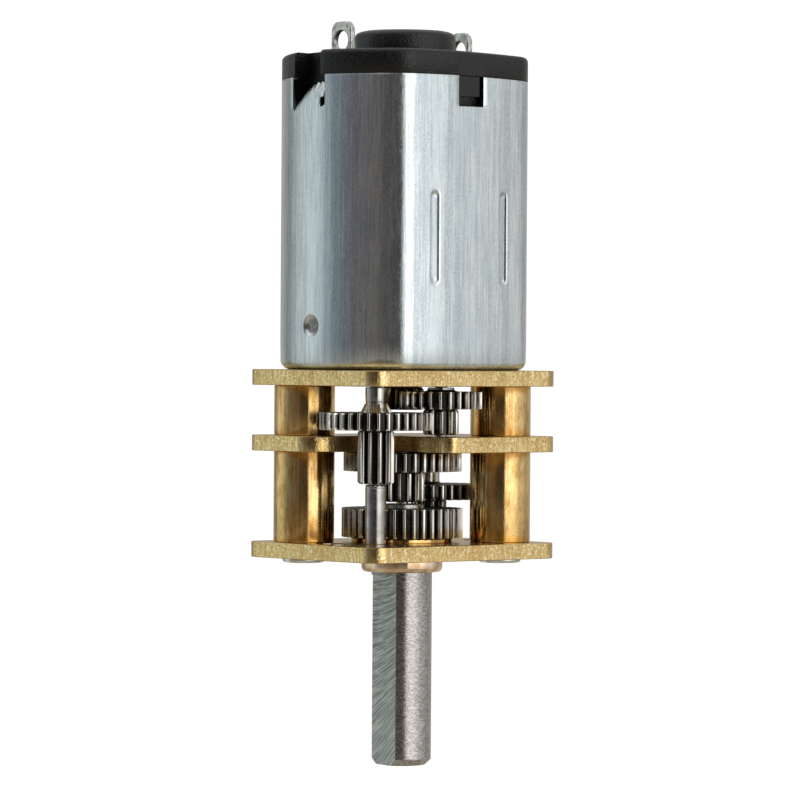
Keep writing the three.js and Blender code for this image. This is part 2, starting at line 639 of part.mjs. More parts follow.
// A flat solder tag with a round eye near its rounded top.
function terminal({ x, y, sunk }) {
  const half = TERMINAL_WIDTH / 2;
  const shoulder = half - TERMINAL_CORNER;
  const crown = TERMINAL_TOP - TERMINAL_CORNER;
  const outline = [
    new THREE.Vector2(-half, TERMINAL_BOTTOM),
    new THREE.Vector2(half, TERMINAL_BOTTOM),
    ...arcPoints(shoulder, crown, TERMINAL_CORNER, 0, Math.PI / 2, 4),
    ...arcPoints(-shoulder, crown, TERMINAL_CORNER, Math.PI / 2, Math.PI, 4),
  ];
  const tag = prism(outline, -TERMINAL_THICKNESS / 2, TERMINAL_THICKNESS / 2,
    [[0, TERMINAL_EYE_HEIGHT, TERMINAL_EYE, 24]]);
  return tag.rotate([90, 0, 90]).translate([x, y, -sunk]);
}

// ---------- Motor inside ----------

function armatureStack() {
  const { radius, shoe, arm, hub, bottom, top } = ARMATURE;
  const poles = [0, 1, 2].flatMap(pole => {
    const direction = (2 * Math.PI * pole) / 3;
    const limb = box([hub / 2, -arm / 2, bottom], [radius - shoe + 0.1, arm / 2, top]);
    return [
      limb.rotate([0, 0, THREE.MathUtils.radToDeg(direction)]),
      sector(radius - shoe, radius, direction, SHOE_HALF_ANGLE, bottom, top, 10),
    ];
  });
  const bore = disc(0, 0, MOTOR_SHAFT_RADIUS + FIT_GAP, bottom - 1, top + 1);
  return cut(join(disc(0, 0, hub, bottom, top), ...poles), bore);
}

function coil(pole) {
  const { inner, outer, width, overhang, gap } = COIL;
  const { arm, bottom, top } = ARMATURE;
  const winding = box([inner, -width / 2, bottom - overhang], [outer, width / 2, top + overhang]);
  const opening = box([0, -arm / 2 - gap, bottom - gap], [outer + 1, arm / 2 + gap, top + gap]);
  return cut(winding, opening).rotate([0, 0, 120 * pole]);
}

function commutatorSegment(pole) {
  const { core, radius, bottom, top, halfAngle } = COMMUTATOR;
  const direction = (2 * Math.PI * (pole + 0.5)) / 3;
  return sector(core + 0.02, radius, direction, halfAngle, bottom + 0.3, top, 10);
}

// A bent spring strip: it rides on the commutator, turns the corner and lies on its terminal.
function brush(side) {
  const { contact, turn, foot, thickness, bottom, top } = BRUSH;
  const half = thickness / 2;
  const outline = [
    [contact - half, -1],
    [contact + half, -1],
    [contact + half, turn - half],
    [foot - half, turn - half],
    [foot - half, -0.5],
    [foot + half, -0.5],
    [foot + half, turn + half],
    [contact - half, turn + half],
  ].map(([x, y]) => new THREE.Vector2(x, y));
  return prism(outline, bottom, top).rotate([0, 0, side > 0 ? 0 : 180]);
}

// ---------- Assembly ----------

const gearmotor = new THREE.Group();
gearmotor.name = 'gearmotor';

function add(name, solid, finish) {
  const material = new THREE.MeshStandardMaterial(FINISHES[finish]);
  const mesh = new THREE.Mesh(geometryOf(solid), material);
  mesh.name = name;
  gearmotor.add(mesh);
}

const arbor = (axis, bottom, top) => disc(axis.x, axis.y, ARBOR_RADIUS, bottom, top);

add('front_plate', frontPlate(), 'brass');
add('middle_plate', middlePlate(), 'brass');
add('rear_plate', rearPlate(), 'brass');
for (const place of PILLARS) {
  add(`lower_pillar_${place.side}`, pillar(place, PLATE_THICKNESS, MIDDLE_PLATE), 'brass');
  add(`upper_pillar_${place.side}`, pillar(place, MIDDLE_PLATE + PLATE_THICKNESS, REAR_PLATE), 'brass');
  add(`frame_screw_${place.side}`, frameScrew(place), 'platedSteel');
}

add('output_shaft', outputShaft(), 'steel');
add('output_gear', gear(MAIN_AXIS, OUTPUT_TEETH, MESH.fourthToOutput.wheel, OUTPUT_GEAR,
  OUTPUT_HUB_RADIUS + FIT_GAP), 'darkSteel');
add('output_bushing', outputBushing(), 'bronze');
add('thrust_washer', thrustWasher(), 'brass');

add('first_gear_wheel', firstWheel(), 'darkSteel');
add('first_gear_pinion', gear(FIRST_AXIS, FIRST_GEAR.pinion, MESH.firstToSecond.pinion, FIRST_PINION,
  ARBOR_BORE), 'darkSteel');
add('first_gear_arbor', arbor(FIRST_AXIS, MIDDLE_PLATE + ARBOR_SEAT, MOTOR_FACE - ARBOR_SEAT), 'steel');

add('second_gear_wheel', secondWheel(), 'darkSteel');
add('second_gear_pinion', gear(SECOND_AXIS, SECOND_GEAR.pinion, MESH.secondToThird.pinion, SECOND_PINION,
  ARBOR_BORE), 'darkSteel');
add('second_gear_spacer', tube(SECOND_AXIS.x, SECOND_AXIS.y, SPACER_RADIUS, ARBOR_BORE,
  PLATE_THICKNESS, SECOND_PINION[0] - 0.04), 'steel');
add('second_gear_arbor', arbor(SECOND_AXIS, FRONT_FACE + ARBOR_SEAT, MOTOR_FACE - ARBOR_SEAT), 'steel');

add('third_gear_wheel', gear(MAIN_AXIS, THIRD_GEAR.wheel, MESH.secondToThird.wheel, THIRD_WHEEL,
  ARBOR_BORE), 'darkSteel');
add('third_gear_pinion', gear(MAIN_AXIS, THIRD_GEAR.pinion, MESH.thirdToFourth.pinion, THIRD_PINION,
  ARBOR_BORE), 'darkSteel');
add('center_arbor', arbor(MAIN_AXIS, CENTRE_ARBOR_BOTTOM,
  MIDDLE_PLATE + PLATE_THICKNESS - ARBOR_SEAT), 'steel');

add('fourth_gear_wheel', fourthWheel(), 'darkSteel');
add('fourth_gear_pinion', gear(FOURTH_AXIS, FOURTH_GEAR.pinion, MESH.fourthToOutput.pinion, FOURTH_PINION,
  ARBOR_BORE), 'darkSteel');
add('fourth_gear_arbor', arbor(FOURTH_AXIS, FRONT_FACE + ARBOR_SEAT,
  MIDDLE_PLATE + PLATE_THICKNESS - ARBOR_SEAT), 'steel');

add('motor_can', motorCan(), 'platedSteel');
add('end_cap', endCap(), 'blackNylon');
add('front_bearing', tube(0, 0, FRONT_BEARING.radius, MOTOR_BORE, FRONT_BEARING.bottom, FRONT_BEARING.top),
  'bronze');
add('rear_bearing', tube(0, 0, REAR_BEARING.radius, MOTOR_BORE, REAR_BEARING.bottom, REAR_BEARING.top),
  'bronze');
add('magnet_clip', sector(CLIP.inner, CLIP.outer, Math.PI / 2, CLIP.halfAngle, MAGNET.bottom, MAGNET.top),
  'platedSteel');
for (const [name, side] of [['left', -1], ['right', 1]]) {
  const direction = side > 0 ? 0 : Math.PI;
  add(`motor_screw_${name}`, motorScrew(side), 'platedSteel');
  add(`magnet_${name}`, sector(MAGNET.inner, MAGNET.outer, direction, MAGNET.halfAngle,
    MAGNET.bottom, MAGNET.top), 'ferrite');
  add(`brush_${name}`, brush(side), 'copper');
}
for (const place of TERMINALS) add(`terminal_${place.name}`, terminal(place), 'tinned');

add('motor_shaft', disc(0, 0, MOTOR_SHAFT_RADIUS, MOTOR_PINION[0], REAR_BEARING.top - 0.1), 'steel');
add('motor_pinion', gear(MAIN_AXIS, MOTOR_TEETH, MESH.motorToFirst.pinion, MOTOR_PINION,
  MOTOR_SHAFT_RADIUS + FIT_GAP), 'brass');
add('armature_stack', armatureStack(), 'laminations');
add('commutator_core', tube(0, 0, COMMUTATOR.core, MOTOR_SHAFT_RADIUS + FIT_GAP, COMMUTATOR.bottom,
  COMMUTATOR.top), 'blackNylon');
['a', 'b', 'c'].forEach((letter, pole) => {
  add(`coil_${letter}`, coil(pole), 'copper');
  add(`commutator_segment_${letter}`, commutatorSegment(pole), 'copper');
});

export default gearmotor;
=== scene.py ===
"""Looks of a miniature metal gearmotor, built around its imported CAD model.

Lengths are in millimetres in this script and become metres when a mesh is made.
The frame's origin is where the output axis meets the front plate's outer face, +Z towards the motor.
"""
import json
import math

import bmesh
import bpy
from mathutils import Matrix, Vector, noise


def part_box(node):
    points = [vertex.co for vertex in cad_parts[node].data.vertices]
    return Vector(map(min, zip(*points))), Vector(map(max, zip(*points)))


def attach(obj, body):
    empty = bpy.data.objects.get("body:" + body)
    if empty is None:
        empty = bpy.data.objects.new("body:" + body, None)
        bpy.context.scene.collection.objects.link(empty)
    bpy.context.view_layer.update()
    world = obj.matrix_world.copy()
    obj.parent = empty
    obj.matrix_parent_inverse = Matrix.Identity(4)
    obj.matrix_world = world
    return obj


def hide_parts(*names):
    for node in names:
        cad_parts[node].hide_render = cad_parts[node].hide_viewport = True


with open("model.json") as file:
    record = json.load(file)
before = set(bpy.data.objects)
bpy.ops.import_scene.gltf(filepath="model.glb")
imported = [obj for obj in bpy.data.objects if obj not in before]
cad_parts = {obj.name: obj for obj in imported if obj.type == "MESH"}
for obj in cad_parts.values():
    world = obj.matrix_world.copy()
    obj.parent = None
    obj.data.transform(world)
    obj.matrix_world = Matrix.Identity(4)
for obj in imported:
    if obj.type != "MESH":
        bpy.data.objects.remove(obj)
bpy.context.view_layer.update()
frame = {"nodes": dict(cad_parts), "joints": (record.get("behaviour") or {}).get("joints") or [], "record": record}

MM = 0.001
nodes = frame["nodes"]
scene = bpy.context.scene

# ---------- Places, read from the frame ----------


def span(node):
    """Lowest and highest height of a CAD node."""
    low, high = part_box(node)
    return low.z / MM, high.z / MM


def middle(node):
    """Centre of a CAD node seen from above."""
    low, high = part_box(node)
    return Vector(((low.x + high.x) / 2 / MM, (low.y + high.y) / 2 / MM))


AXES = {joint["child"]: Vector(joint["pos_m"][:2]) / MM for joint in frame["joints"]}
MAIN = Vector((0.0, 0.0))
BODIES = frame["record"]["behaviour"]["bodies"]
BODY_OF = {node: body for body, members in BODIES.items() for node in members}

# ---------- Driving dimensions ----------

PLATE_CORNER = 0.87
PLATE_EDGE = 0.04
PILLAR_RADIUS = 1.5
PILLAR_EDGE = 0.07
SCREW_BORE = 0.62
SCREW_HEAD = 1.05
SCREW_SLOT = {"half": 0.14, "depth": 0.13}
ARBOR_BORE = 0.31
PIN_BORE = 0.33
MOUNT_HOLE = (4.5, 0.8)  # distance from the output axis, radius
BUSHING_SEAT = 1.81
MOTOR_BOSS_HOLE = 1.55
MOTOR_SCREW_HOLE = (3.9, 0.92)  # likewise
NOTCH_CORNER = (-1.27, -0.2)

MODULE = 0.15
PRESSURE_ANGLE = math.radians(20)
BACKLASH = 0.012
ROOT_RELIEF = 0.8
TIP_ROUND = 0.035
TIP_CHAMFER = 0.13
TEETH = {
    "motor_pinion": 12,
    "first_gear_wheel": 25,
    "first_gear_pinion": 10,
    "second_gear_wheel": 35,
    "second_gear_pinion": 10,
    "third_gear_wheel": 37,
    "third_gear_pinion": 13,
    "fourth_gear_wheel": 35,
    "fourth_gear_pinion": 10,
    "output_gear": 38,
}
MESHES = [  # pinion, its body, wheel, its body
    ("motor_pinion", "rotor", "first_gear_wheel", "first_gear"),
    ("first_gear_pinion", "first_gear", "second_gear_wheel", "second_gear"),
    ("second_gear_pinion", "second_gear", "third_gear_wheel", "third_gear"),
    ("third_gear_pinion", "third_gear", "fourth_gear_wheel", "fourth_gear"),
    ("fourth_gear_pinion", "fourth_gear", "output_gear", "output"),
]

SHAFT_RADIUS = 1.5
FLAT_DISTANCE = 1.0
FLAT_ANGLE = math.radians(171)
FLAT_STOP = -0.84

CAN_RADIUS = 6.08
CAN_FLAT = 5.0
CAN_CORNER = 1.5
CROWN_RADIUS = 20.0
CROWN_TURN = math.radians(8)
CAN_WALL = 0.5
CAN_EDGE = 0.5
CAN_HOLE = 1.52
RIB_X = 2.2
RIB_HALF = 0.33
RIB_SPAN = (13.4, 18.1)
RIB_SLOPE = 0.15
DENT_DEPTH = 0.12
DROOP_TURN = math.radians(40)
DROOP_START = 4.4
DROOP_SLOPE = 0.036
DROOP_MOST = 0.16
DIMPLE_HEIGHT = 11.41
DIMPLE_SHIFT = 0.18
DIMPLE_RADIUS = 0.58
DIMPLE_SLOPE = 0.22
DIMPLE_DEPTH = 0.2
KEY_HALF = 0.79
KEY_DEPTH = 1.5
CRIMP_SPAN = (-0.93, 1.4)
POCKET_SPAN = (-0.75, 1.33)
CRIMP_DEPTH = 1.5
CRIMP_PUSH = 0.35
TONGUE_START = 0.35
TEAR = {"width": 0.2, "height": 0.5}
SLIT = 0.12
ROUND_START = 5.0  # in x
CAP_EDGE = 0.22
KEY_TABS = [(-0.66, 0.62, 0.1, 1.0), (-0.74, 0.66, 0.38, 1.46)]  # left, right, set back, depth
BOSS_RADIUS = 2.49
BOSS_HEIGHT = 1.16
BOSS_EDGE = 0.3
BOSS_DOME = 0.72
CAP_FLANGE = 1.22
TAG_HALF = 0.72
TAG_LEAN = {"left": -0.06, "right": 0.0}
CAN_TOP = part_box("end_cap")[1].z / MM - BOSS_HEIGHT - CAP_FLANGE

# ---------- Mesh helpers ----------


def object_from(name, data):
    obj = bpy.data.objects.new(name, data)
    scene.collection.objects.link(obj)
    return obj


def object_from_bmesh(name, bm):
    mesh = bpy.data.meshes.new(name)
    bm.to_mesh(mesh)
    bm.free()
    return object_from(name, mesh)


def activate(obj):
    bpy.ops.object.select_all(action="DESELECT")
    obj.select_set(True)
    bpy.context.view_layer.objects.active = obj


def apply_modifiers(obj):
    activate(obj)
    for modifier in list(obj.modifiers):
        bpy.ops.object.modifier_apply(modifier=modifier.name)


def circle(x, y, radius, count=64, start=0.0):
    turns = [start + 2 * math.pi * i / count for i in range(count)]
    return [(x + radius * math.cos(t), y + radius * math.sin(t)) for t in turns]


def arc(x, y, radius, start, end, steps):
    turns = [start + (end - start) * i / steps for i in range(steps + 1)]
    return [(x + radius * math.cos(t), y + radius * math.sin(t)) for t in turns]


def rounded(corners, steps=8):
    """A closed outline through rounded corners, each (x, y, radius)."""
    points = []
    for i, (x, y, radius) in enumerate(corners):
        corner = Vector((x, y))
        back = (Vector(corners[i - 1][:2]) - corner).normalized()
        ahead = (Vector(corners[(i + 1) % len(corners)][:2]) - corner).normalized()
        half = back.angle(ahead) / 2
        centre = corner + (back + ahead).normalized() * (radius / math.sin(half))
        first = corner + back * (radius / math.tan(half)) - centre
        start = math.atan2(first.y, first.x)
        turn = math.copysign(math.pi - 2 * half, ahead.x * back.y - ahead.y * back.x)
        points += arc(centre.x, centre.y, radius, start, start + turn, steps)
    return points


def slab(name, outlines, bottom, top, edge=0.03, edge_steps=1):
    """A flat piece with rounded edges, from the outlines of its rim and then its holes."""
    curve = bpy.data.curves.new(name, "CURVE")
    curve.dimensions = "2D"
    curve.fill_mode = "BOTH"
    for outline in outlines:
        spline = curve.splines.new("POLY")
        spline.points.add(len(outline) - 1)
        for point, (x, y) in zip(spline.points, outline):
            point.co = (x, y, 0, 1)
        spline.use_cyclic_u = True
    curve.extrude = (top - bottom) / 2 - edge
    curve.bevel_depth = edge
    curve.bevel_resolution = edge_steps
    curve.offset = -edge
    holder = object_from(name, curve)
    bpy.context.view_layer.update()
    evaluated = holder.evaluated_get(bpy.context.evaluated_depsgraph_get())
    mesh = bpy.data.meshes.new_from_object(evaluated)
    bpy.data.objects.remove(holder)
    bpy.data.curves.remove(curve)
    mesh.transform(Matrix.Translation((0, 0, (top + bottom) / 2)))
    return object_from(name, mesh)


def lathe(name, profile, at=MAIN, segments=96):
    """A turned piece. Profile points are (radius, height); a last one equal to the first closes a ring."""
    closed = profile[0] == profile[-1]
    rings = profile[:-1] if closed else profile
    bm = bmesh.new()
    rows = []
    for radius, height in rings:
        if radius == 0:
            rows.append([bm.verts.new((at[0], at[1], height))])
        else:
            rows.append([bm.verts.new((x, y, height)) for x, y in circle(*at, radius, segments)])
    pairs = list(zip(rows, rows[1:])) + ([(rows[-1], rows[0])] if closed else [])
    for low, high in pairs:
        for i in range(segments):
            j = (i + 1) % segments
            corners = [low[i % len(low)], low[j % len(low)], high[j % len(high)], high[i % len(high)]]
            unique = list(dict.fromkeys(corners))
            if len(unique) > 2:
                bm.faces.new(unique)
    bmesh.ops.recalc_face_normals(bm, faces=bm.faces)
    return object_from_bmesh(name, bm)


def block(low, high, turn=0.0):
    """A box between two corners, turned about the main axis, to cut with or to join on."""
    bm = bmesh.new()
    bmesh.ops.create_cube(bm, size=1)
    size = [b - a for a, b in zip(low, high)]
    centre = [(a + b) / 2 for a, b in zip(low, high)]
    place = Matrix.Rotation(turn, 4, "Z") @ Matrix.Translation(centre) @ Matrix.Diagonal((*size, 1))
    bmesh.ops.transform(bm, matrix=place, verts=bm.verts)
    return object_from_bmesh("cutter", bm)


def carve(obj, tools, operation="DIFFERENCE"):
    """Cuts the tools out of a piece, or joins them to it, and removes them."""
    for tool in tools:
        modifier = obj.modifiers.new("carve", "BOOLEAN")
        modifier.operation = operation
        modifier.solver = "EXACT"
        modifier.object = tool
        apply_modifiers(obj)
        bpy.data.objects.remove(tool)
    return obj


def soften(obj, width, segments=2, angle=40):
    """Rounds a piece's sharp edges."""
    modifier = obj.modifiers.new("soften", "BEVEL")
    modifier.width = width
    modifier.segments = segments
    modifier.limit_method = "ANGLE"
    modifier.angle_limit = math.radians(angle)
    apply_modifiers(obj)
    return obj


def loft(name, layers):
    """A closed skin over outlines stacked at the given heights."""
    bm = bmesh.new()
    rings = [[bm.verts.new((x, y, height)) for x, y in outline] for outline, height in layers]
    for low, high in zip(rings, rings[1:]):
        for i in range(len(low)):
            j = (i + 1) % len(low)
            bm.faces.new((low[i], low[j], high[j], high[i]))
    bm.faces.new(rings[0][::-1])
    bm.faces.new(rings[-1])
    return object_from_bmesh(name, bm)


def join_pieces(first, second):
    """Makes the second piece part of the first one's mesh."""
    activate(first)
    second.select_set(True)
    bpy.ops.object.join()


def finish_piece(obj, material, node, smooth=35):
    """Scales a piece to metres, gives it its finish, and puts it in a CAD node's place."""
    obj.data.transform(Matrix.Scale(MM, 4))
    obj.data.polygons.foreach_set("use_smooth", [True] * len(obj.data.polygons))
    obj.data.set_sharp_from_angle(angle=math.radians(smooth))
    flatten = obj.modifiers.new("flatten", "WEIGHTED_NORMAL")
    flatten.weight = 100
    flatten.keep_sharp = True
    apply_modifiers(obj)
    obj.data.materials.clear()
    obj.data.materials.append(material)
    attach(obj, BODY_OF[node])
    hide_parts(node)


# ---------- Material helpers ----------


def feed(tree, socket, value):
    """Links a socket to another one, or sets its value. A colour may leave out its alpha."""
    if isinstance(value, bpy.types.NodeSocket):
        tree.links.new(value, socket)
    elif socket.type == "RGBA" and len(value) == 3:
        socket.default_value = (*value, 1)
    else:
        socket.default_value = value


def add_node(tree, kind, inputs=None, **settings):
    made = tree.nodes.new("ShaderNode" + kind)
    for key, value in settings.items():
        setattr(made, key, value)
    for key, value in (inputs or {}).items():
        feed(tree, made.inputs[key], value)
    return made


class Finish:
    """A procedural material in the making. Coordinates are millimetres in the piece's own frame."""

    def __init__(self, name, colour, roughness, metallic=1.0):
        self.material = bpy.data.materials.new(name)
        self.material.use_nodes = True
        self.tree = self.material.node_tree
        self.shader = self.tree.nodes["Principled BSDF"]
        self.shader.inputs["Base Color"].default_value = (*colour, 1)
        self.shader.inputs["Roughness"].default_value = roughness
        self.shader.inputs["Metallic"].default_value = metallic
        self.normal = None

    def node(self, kind, inputs=None, **settings):
        return add_node(self.tree, kind, inputs, **settings)

    def place(self, stretch=(1, 1, 1), turn=(0, 0, 0)):
        """Position in millimetres, stretched so that a pattern can be finer along one axis."""
        point = self.node("TexCoord").outputs["Object"]
        scale = tuple(s / MM for s in stretch)
        return self.node("Mapping", {"Vector": point, "Scale": scale, "Rotation": turn}).outputs[0]

    def position(self):
        """Position in millimetres in the piece's own frame, as x, y, z sockets."""
        return self.node("SeparateXYZ", {"Vector": self.place()}).outputs

    def facing(self):
        """The surface's direction in the piece's own frame, as x, y, z sockets."""
        normal = self.node("TexCoord").outputs["Normal"]
        return self.node("SeparateXYZ", {"Vector": normal}).outputs

    def noise(self, point, scale, detail=2.0, rough=0.5, warp=0.0):
        inputs = {"Vector": point, "Scale": scale, "Detail": detail, "Roughness": rough, "Distortion": warp}
        return self.node("TexNoise", inputs).outputs["Fac"]

    def cells(self, point, scale):
        return self.node("TexVoronoi", {"Vector": point, "Scale": scale}).outputs["Distance"]

    def maths(self, operation, a, b=0.0, c=0.0):
        return self.node("Math", {0: a, 1: b, 2: c}, operation=operation).outputs[0]

    def diagonal(self, a, b):
        squares = [self.maths("POWER", side, 2.0) for side in (a, b)]
        return self.maths("SQRT", self.maths("ADD", *squares))

    def along(self, x, y, turn):
        """How far (x, y) reaches in the horizontal direction given by turn."""
        return self.maths("MULTIPLY_ADD", x, math.cos(turn), self.maths("MULTIPLY", y, math.sin(turn)))

    def band(self, value, low, high, start=0.0, end=1.0):
        """Value from low to high, mapped smoothly to start to end and held outside."""
        inputs = {"Value": value, "From Min": low, "From Max": high, "To Min": start, "To Max": end}
        return self.node("MapRange", inputs, interpolation_type="SMOOTHSTEP").outputs[0]

    def mix(self, share, first, second):
        """The first colour where share is 0, the second where it is 1."""
        return self.node("Mix", {0: share, 6: first, 7: second}, data_type="RGBA").outputs[2]

    def colour(self, socket):
        self.tree.links.new(socket, self.shader.inputs["Base Color"])

    def roughness(self, socket):
        self.tree.links.new(socket, self.shader.inputs["Roughness"])

    def bump(self, height, depth):
        """Raises the surface by up to depth millimetres, on top of any earlier bump."""
        inputs = {"Height": height, "Distance": depth * MM, "Strength": 1.0}
        if self.normal:
            inputs["Normal"] = self.normal
        self.normal = self.node("Bump", inputs).outputs[0]
        self.tree.links.new(self.normal, self.shader.inputs["Normal"])


def drawn_steel():
    """Zinc-plated deep-drawn steel: soft upright drawing streaks, satin mottle, scuffs, dimples darkened in
    their middle, and painted shade on the cut edges and the inside of the wall near the rim."""
    f = Finish("drawn_steel", (0.6, 0.64, 0.66), 0.25, 0.9)
    x, y, z = f.position()
    broad = f.noise(f.place((1, 1, 0.02)), 1.6, 5.0, 0.75)
    streaks = f.noise(f.place((1, 1, 0.05)), 9.0, 4.0, 0.7)
    mottle = f.noise(f.place((1, 1, 0.55)), 15.0, 3.0, 0.65)
    clouds = f.noise(f.place((1, 1, 0.4)), 0.8, 4.0, 0.6)
    scuffs = f.noise(f.place((1, 1, 0.25), (0.5, 0, 0)), 3.2, 6.0, 0.75)
    tone = f.maths("MULTIPLY_ADD", broad, 0.55, f.maths("MULTIPLY", streaks, 0.45))
    pale = f.mix(f.band(tone, 0.42, 0.58), (0.46, 0.51, 0.525), (0.72, 0.765, 0.77))
    grained = f.mix(f.band(mottle, 0.4, 0.66, 0.0, 0.45), pale, (0.84, 0.87, 0.88))
    hazed = f.mix(f.band(clouds, 0.4, 0.7, 0.0, 0.35), grained, (0.46, 0.52, 0.56))
    speck = f.band(f.cells(f.place((1, 1, 0.7)), 5.0), 0.0, 0.13, 0.6, 0.0)
    marked = f.mix(speck, hazed, (0.2, 0.22, 0.24))
    # The round sides are darker in each dimple, most towards its middle.
    sideways = f.maths("SUBTRACT", f.maths("MULTIPLY", y, f.maths("SIGN", x)), DIMPLE_SHIFT)
    from_dimple = f.diagonal(sideways, f.maths("SUBTRACT", z, DIMPLE_HEIGHT))
    on_round = f.band(f.maths("ABSOLUTE", x), 5.5, 5.7)
    dimple_darkening = f.maths("MULTIPLY", f.band(from_dimple, 0.3, 0.46, 0.94, 0.0), on_round)
    dimple_dark_tone = f.mix(f.band(mottle, 0.4, 0.62), (0.06, 0.045, 0.04), (0.34, 0.32, 0.3))
    f_x, f_y, _ = f.facing()
    # Painted shade: near the rim, faces that don't face outward (the cut edges of the slots and tongues, the rim,
    # the inside of the wall) are coloured near-black.
    outward = f.maths("MULTIPLY_ADD", x, f_x, f.maths("MULTIPLY", y, f_y))
    painted_shade_on_cut_faces = f.band(f.maths("DIVIDE", outward, f.diagonal(x, y)), 0.25, 0.5, 1.0, 0.0)
    near_rim = f.band(z, CAN_TOP - 1.9, CAN_TOP - 1.8)
    dimple_darkened = f.mix(dimple_darkening, marked, dimple_dark_tone)
    f.colour(f.mix(f.maths("MULTIPLY", painted_shade_on_cut_faces, near_rim), dimple_darkened, (0.06, 0.06, 0.06)))
    f.roughness(f.band(f.maths("MULTIPLY_ADD", mottle, 0.6, scuffs), 0.6, 1.05, 0.13, 0.27))
    f.bump(broad, 0.009)
    f.bump(streaks, 0.0034)
    f.bump(scuffs, 0.003)
    f.bump(mottle, 0.004)
    return f.material


def black_nylon():
    """Moulded black plastic: a spark-eroded skin that glitters, with pale dust caught in it."""
    f = Finish("black_nylon", (0.006, 0.006, 0.007), 0.45, 0.0)
    f.shader.inputs["Specular IOR Level"].default_value = 0.42
    grain = f.noise(f.place(), 6.0, 4.0, 0.7)
    pits = f.cells(f.place(), 12.0)
    dust = f.band(f.noise(f.place(), 13.0, 3.0, 0.7), 0.64, 0.7)
    f.colour(f.mix(f.maths("MULTIPLY", dust, 0.8), (0.0035, 0.0035, 0.004), (0.11, 0.11, 0.115)))
    f.roughness(f.band(grain, 0.35, 0.65, 0.24, 0.42))
    f.bump(grain, 0.02)
    f.bump(pits, 0.014)
    return f.material


def stamped_brass(name, node):
    """A stamped plate: smooth faces, and sparkling cut edges with more dark specks towards the top."""
    low, high = span(node)
    f = Finish(name, (0.66, 0.46, 0.2), 0.35)
    side = f.band(f.maths("ABSOLUTE", f.facing()[2]), 0.3, 0.8, 1.0, 0.0)
    torn = f.maths("MULTIPLY", side, f.band(f.position()[2], low + 0.1, high - 0.2, 0.35, 1.0))
    striae = f.noise(f.place((1, 1, 0.12)), 8.0, 4.0, 0.75)
    crumbs = f.noise(f.place((0.9, 0.9, 0.9)), 6.5, 4.0, 0.75)
    stain = f.noise(f.place(), 0.8, 5.0, 0.65)
    specks = f.noise(f.place((1, 1, 0.6)), 14.0, 2.0, 0.6)
    sheared = f.mix(f.band(striae, 0.36, 0.64), (0.6, 0.4, 0.14), (0.86, 0.65, 0.31))
    dark_specks = f.maths("MULTIPLY", torn, f.band(specks, 0.52, 0.6, 0.0, 0.75))
    speckled = f.mix(dark_specks, sheared, (0.32, 0.18, 0.05))
    bright_crumbs = f.maths("MULTIPLY", side, f.band(crumbs, 0.52, 0.62, 0.0, 0.9))
    worn = f.mix(bright_crumbs, speckled, (1.0, 0.84, 0.53))
    f.colour(f.mix(f.band(stain, 0.42, 0.72, 0.0, 0.5), worn, (0.5, 0.29, 0.08)))
    edge_gloss = f.band(crumbs, 0.3, 0.7, 0.24, 0.1)
    f.roughness(f.mix(side, (0.2,) * 3, edge_gloss))
    f.bump(f.maths("MULTIPLY", side, striae), 0.006)
    f.bump(f.maths("MULTIPLY", side, crumbs), 0.02)
    f.bump(f.noise(f.place((1, 0.08, 1)), 16.0, 3.0), 0.0015)
    return f.material


def turned_brass():
    """Turned brass whose fine turning grooves draw reflections out along the axis, with lengthwise
    scratches, brown stains and dark specks."""
    f = Finish("turned_brass", (0.66, 0.4, 0.13), 0.14)
    rings = f.noise(f.place((0.03, 0.03, 1)), 14.0, 4.0, 0.6)
    scratches = f.noise(f.place((1, 1, 0.06)), 9.0, 5.0, 0.7)
    grain = f.noise(f.place((1, 1, 0.6)), 13.0, 3.0, 0.7)
    stain = f.noise(f.place((1, 1, 0.5)), 1.3, 5.0, 0.7)
    speck = f.band(f.noise(f.place(), 9.0, 3.0), 0.66, 0.72, 0.0, 0.75)
    brass = f.mix(f.band(stain, 0.35, 0.68), (0.84, 0.56, 0.22), (0.46, 0.24, 0.065))
    lined = f.mix(f.band(scratches, 0.42, 0.68, 0.0, 0.45), brass, (1.0, 0.82, 0.45))
    f.colour(f.mix(speck, lined, (0.12, 0.06, 0.02)))
    f.roughness(f.band(f.maths("MULTIPLY_ADD", grain, 0.6, stain), 0.55, 1.05, 0.12, 0.22))
    f.shader.inputs["Anisotropic"].default_value = 1.0
    f.shader.inputs["Anisotropic Rotation"].default_value = 0.25
    around = f.node("Tangent", direction_type="RADIAL", axis="Z").outputs[0]
    f.tree.links.new(around, f.shader.inputs["Tangent"])
    f.bump(rings, 0.001)
    f.bump(scratches, 0.0016)
    f.bump(grain, 0.0014)
    return f.material


def turned_bronze():
    """Pinkish polished bearing bronze with turning rings."""
    f = Finish("turned_bronze", (0.83, 0.6, 0.45), 0.16)
    rings = f.noise(f.place((0.03, 0.03, 1)), 14.0, 3.0)
    stain = f.noise(f.place(), 1.5, 4.0)
    f.colour(f.mix(f.band(stain, 0.35, 0.7), (0.97, 0.77, 0.56), (0.56, 0.35, 0.19)))
    f.roughness(f.band(stain, 0.3, 0.7, 0.05, 0.11))
    f.bump(rings, 0.0006)
    return f.material


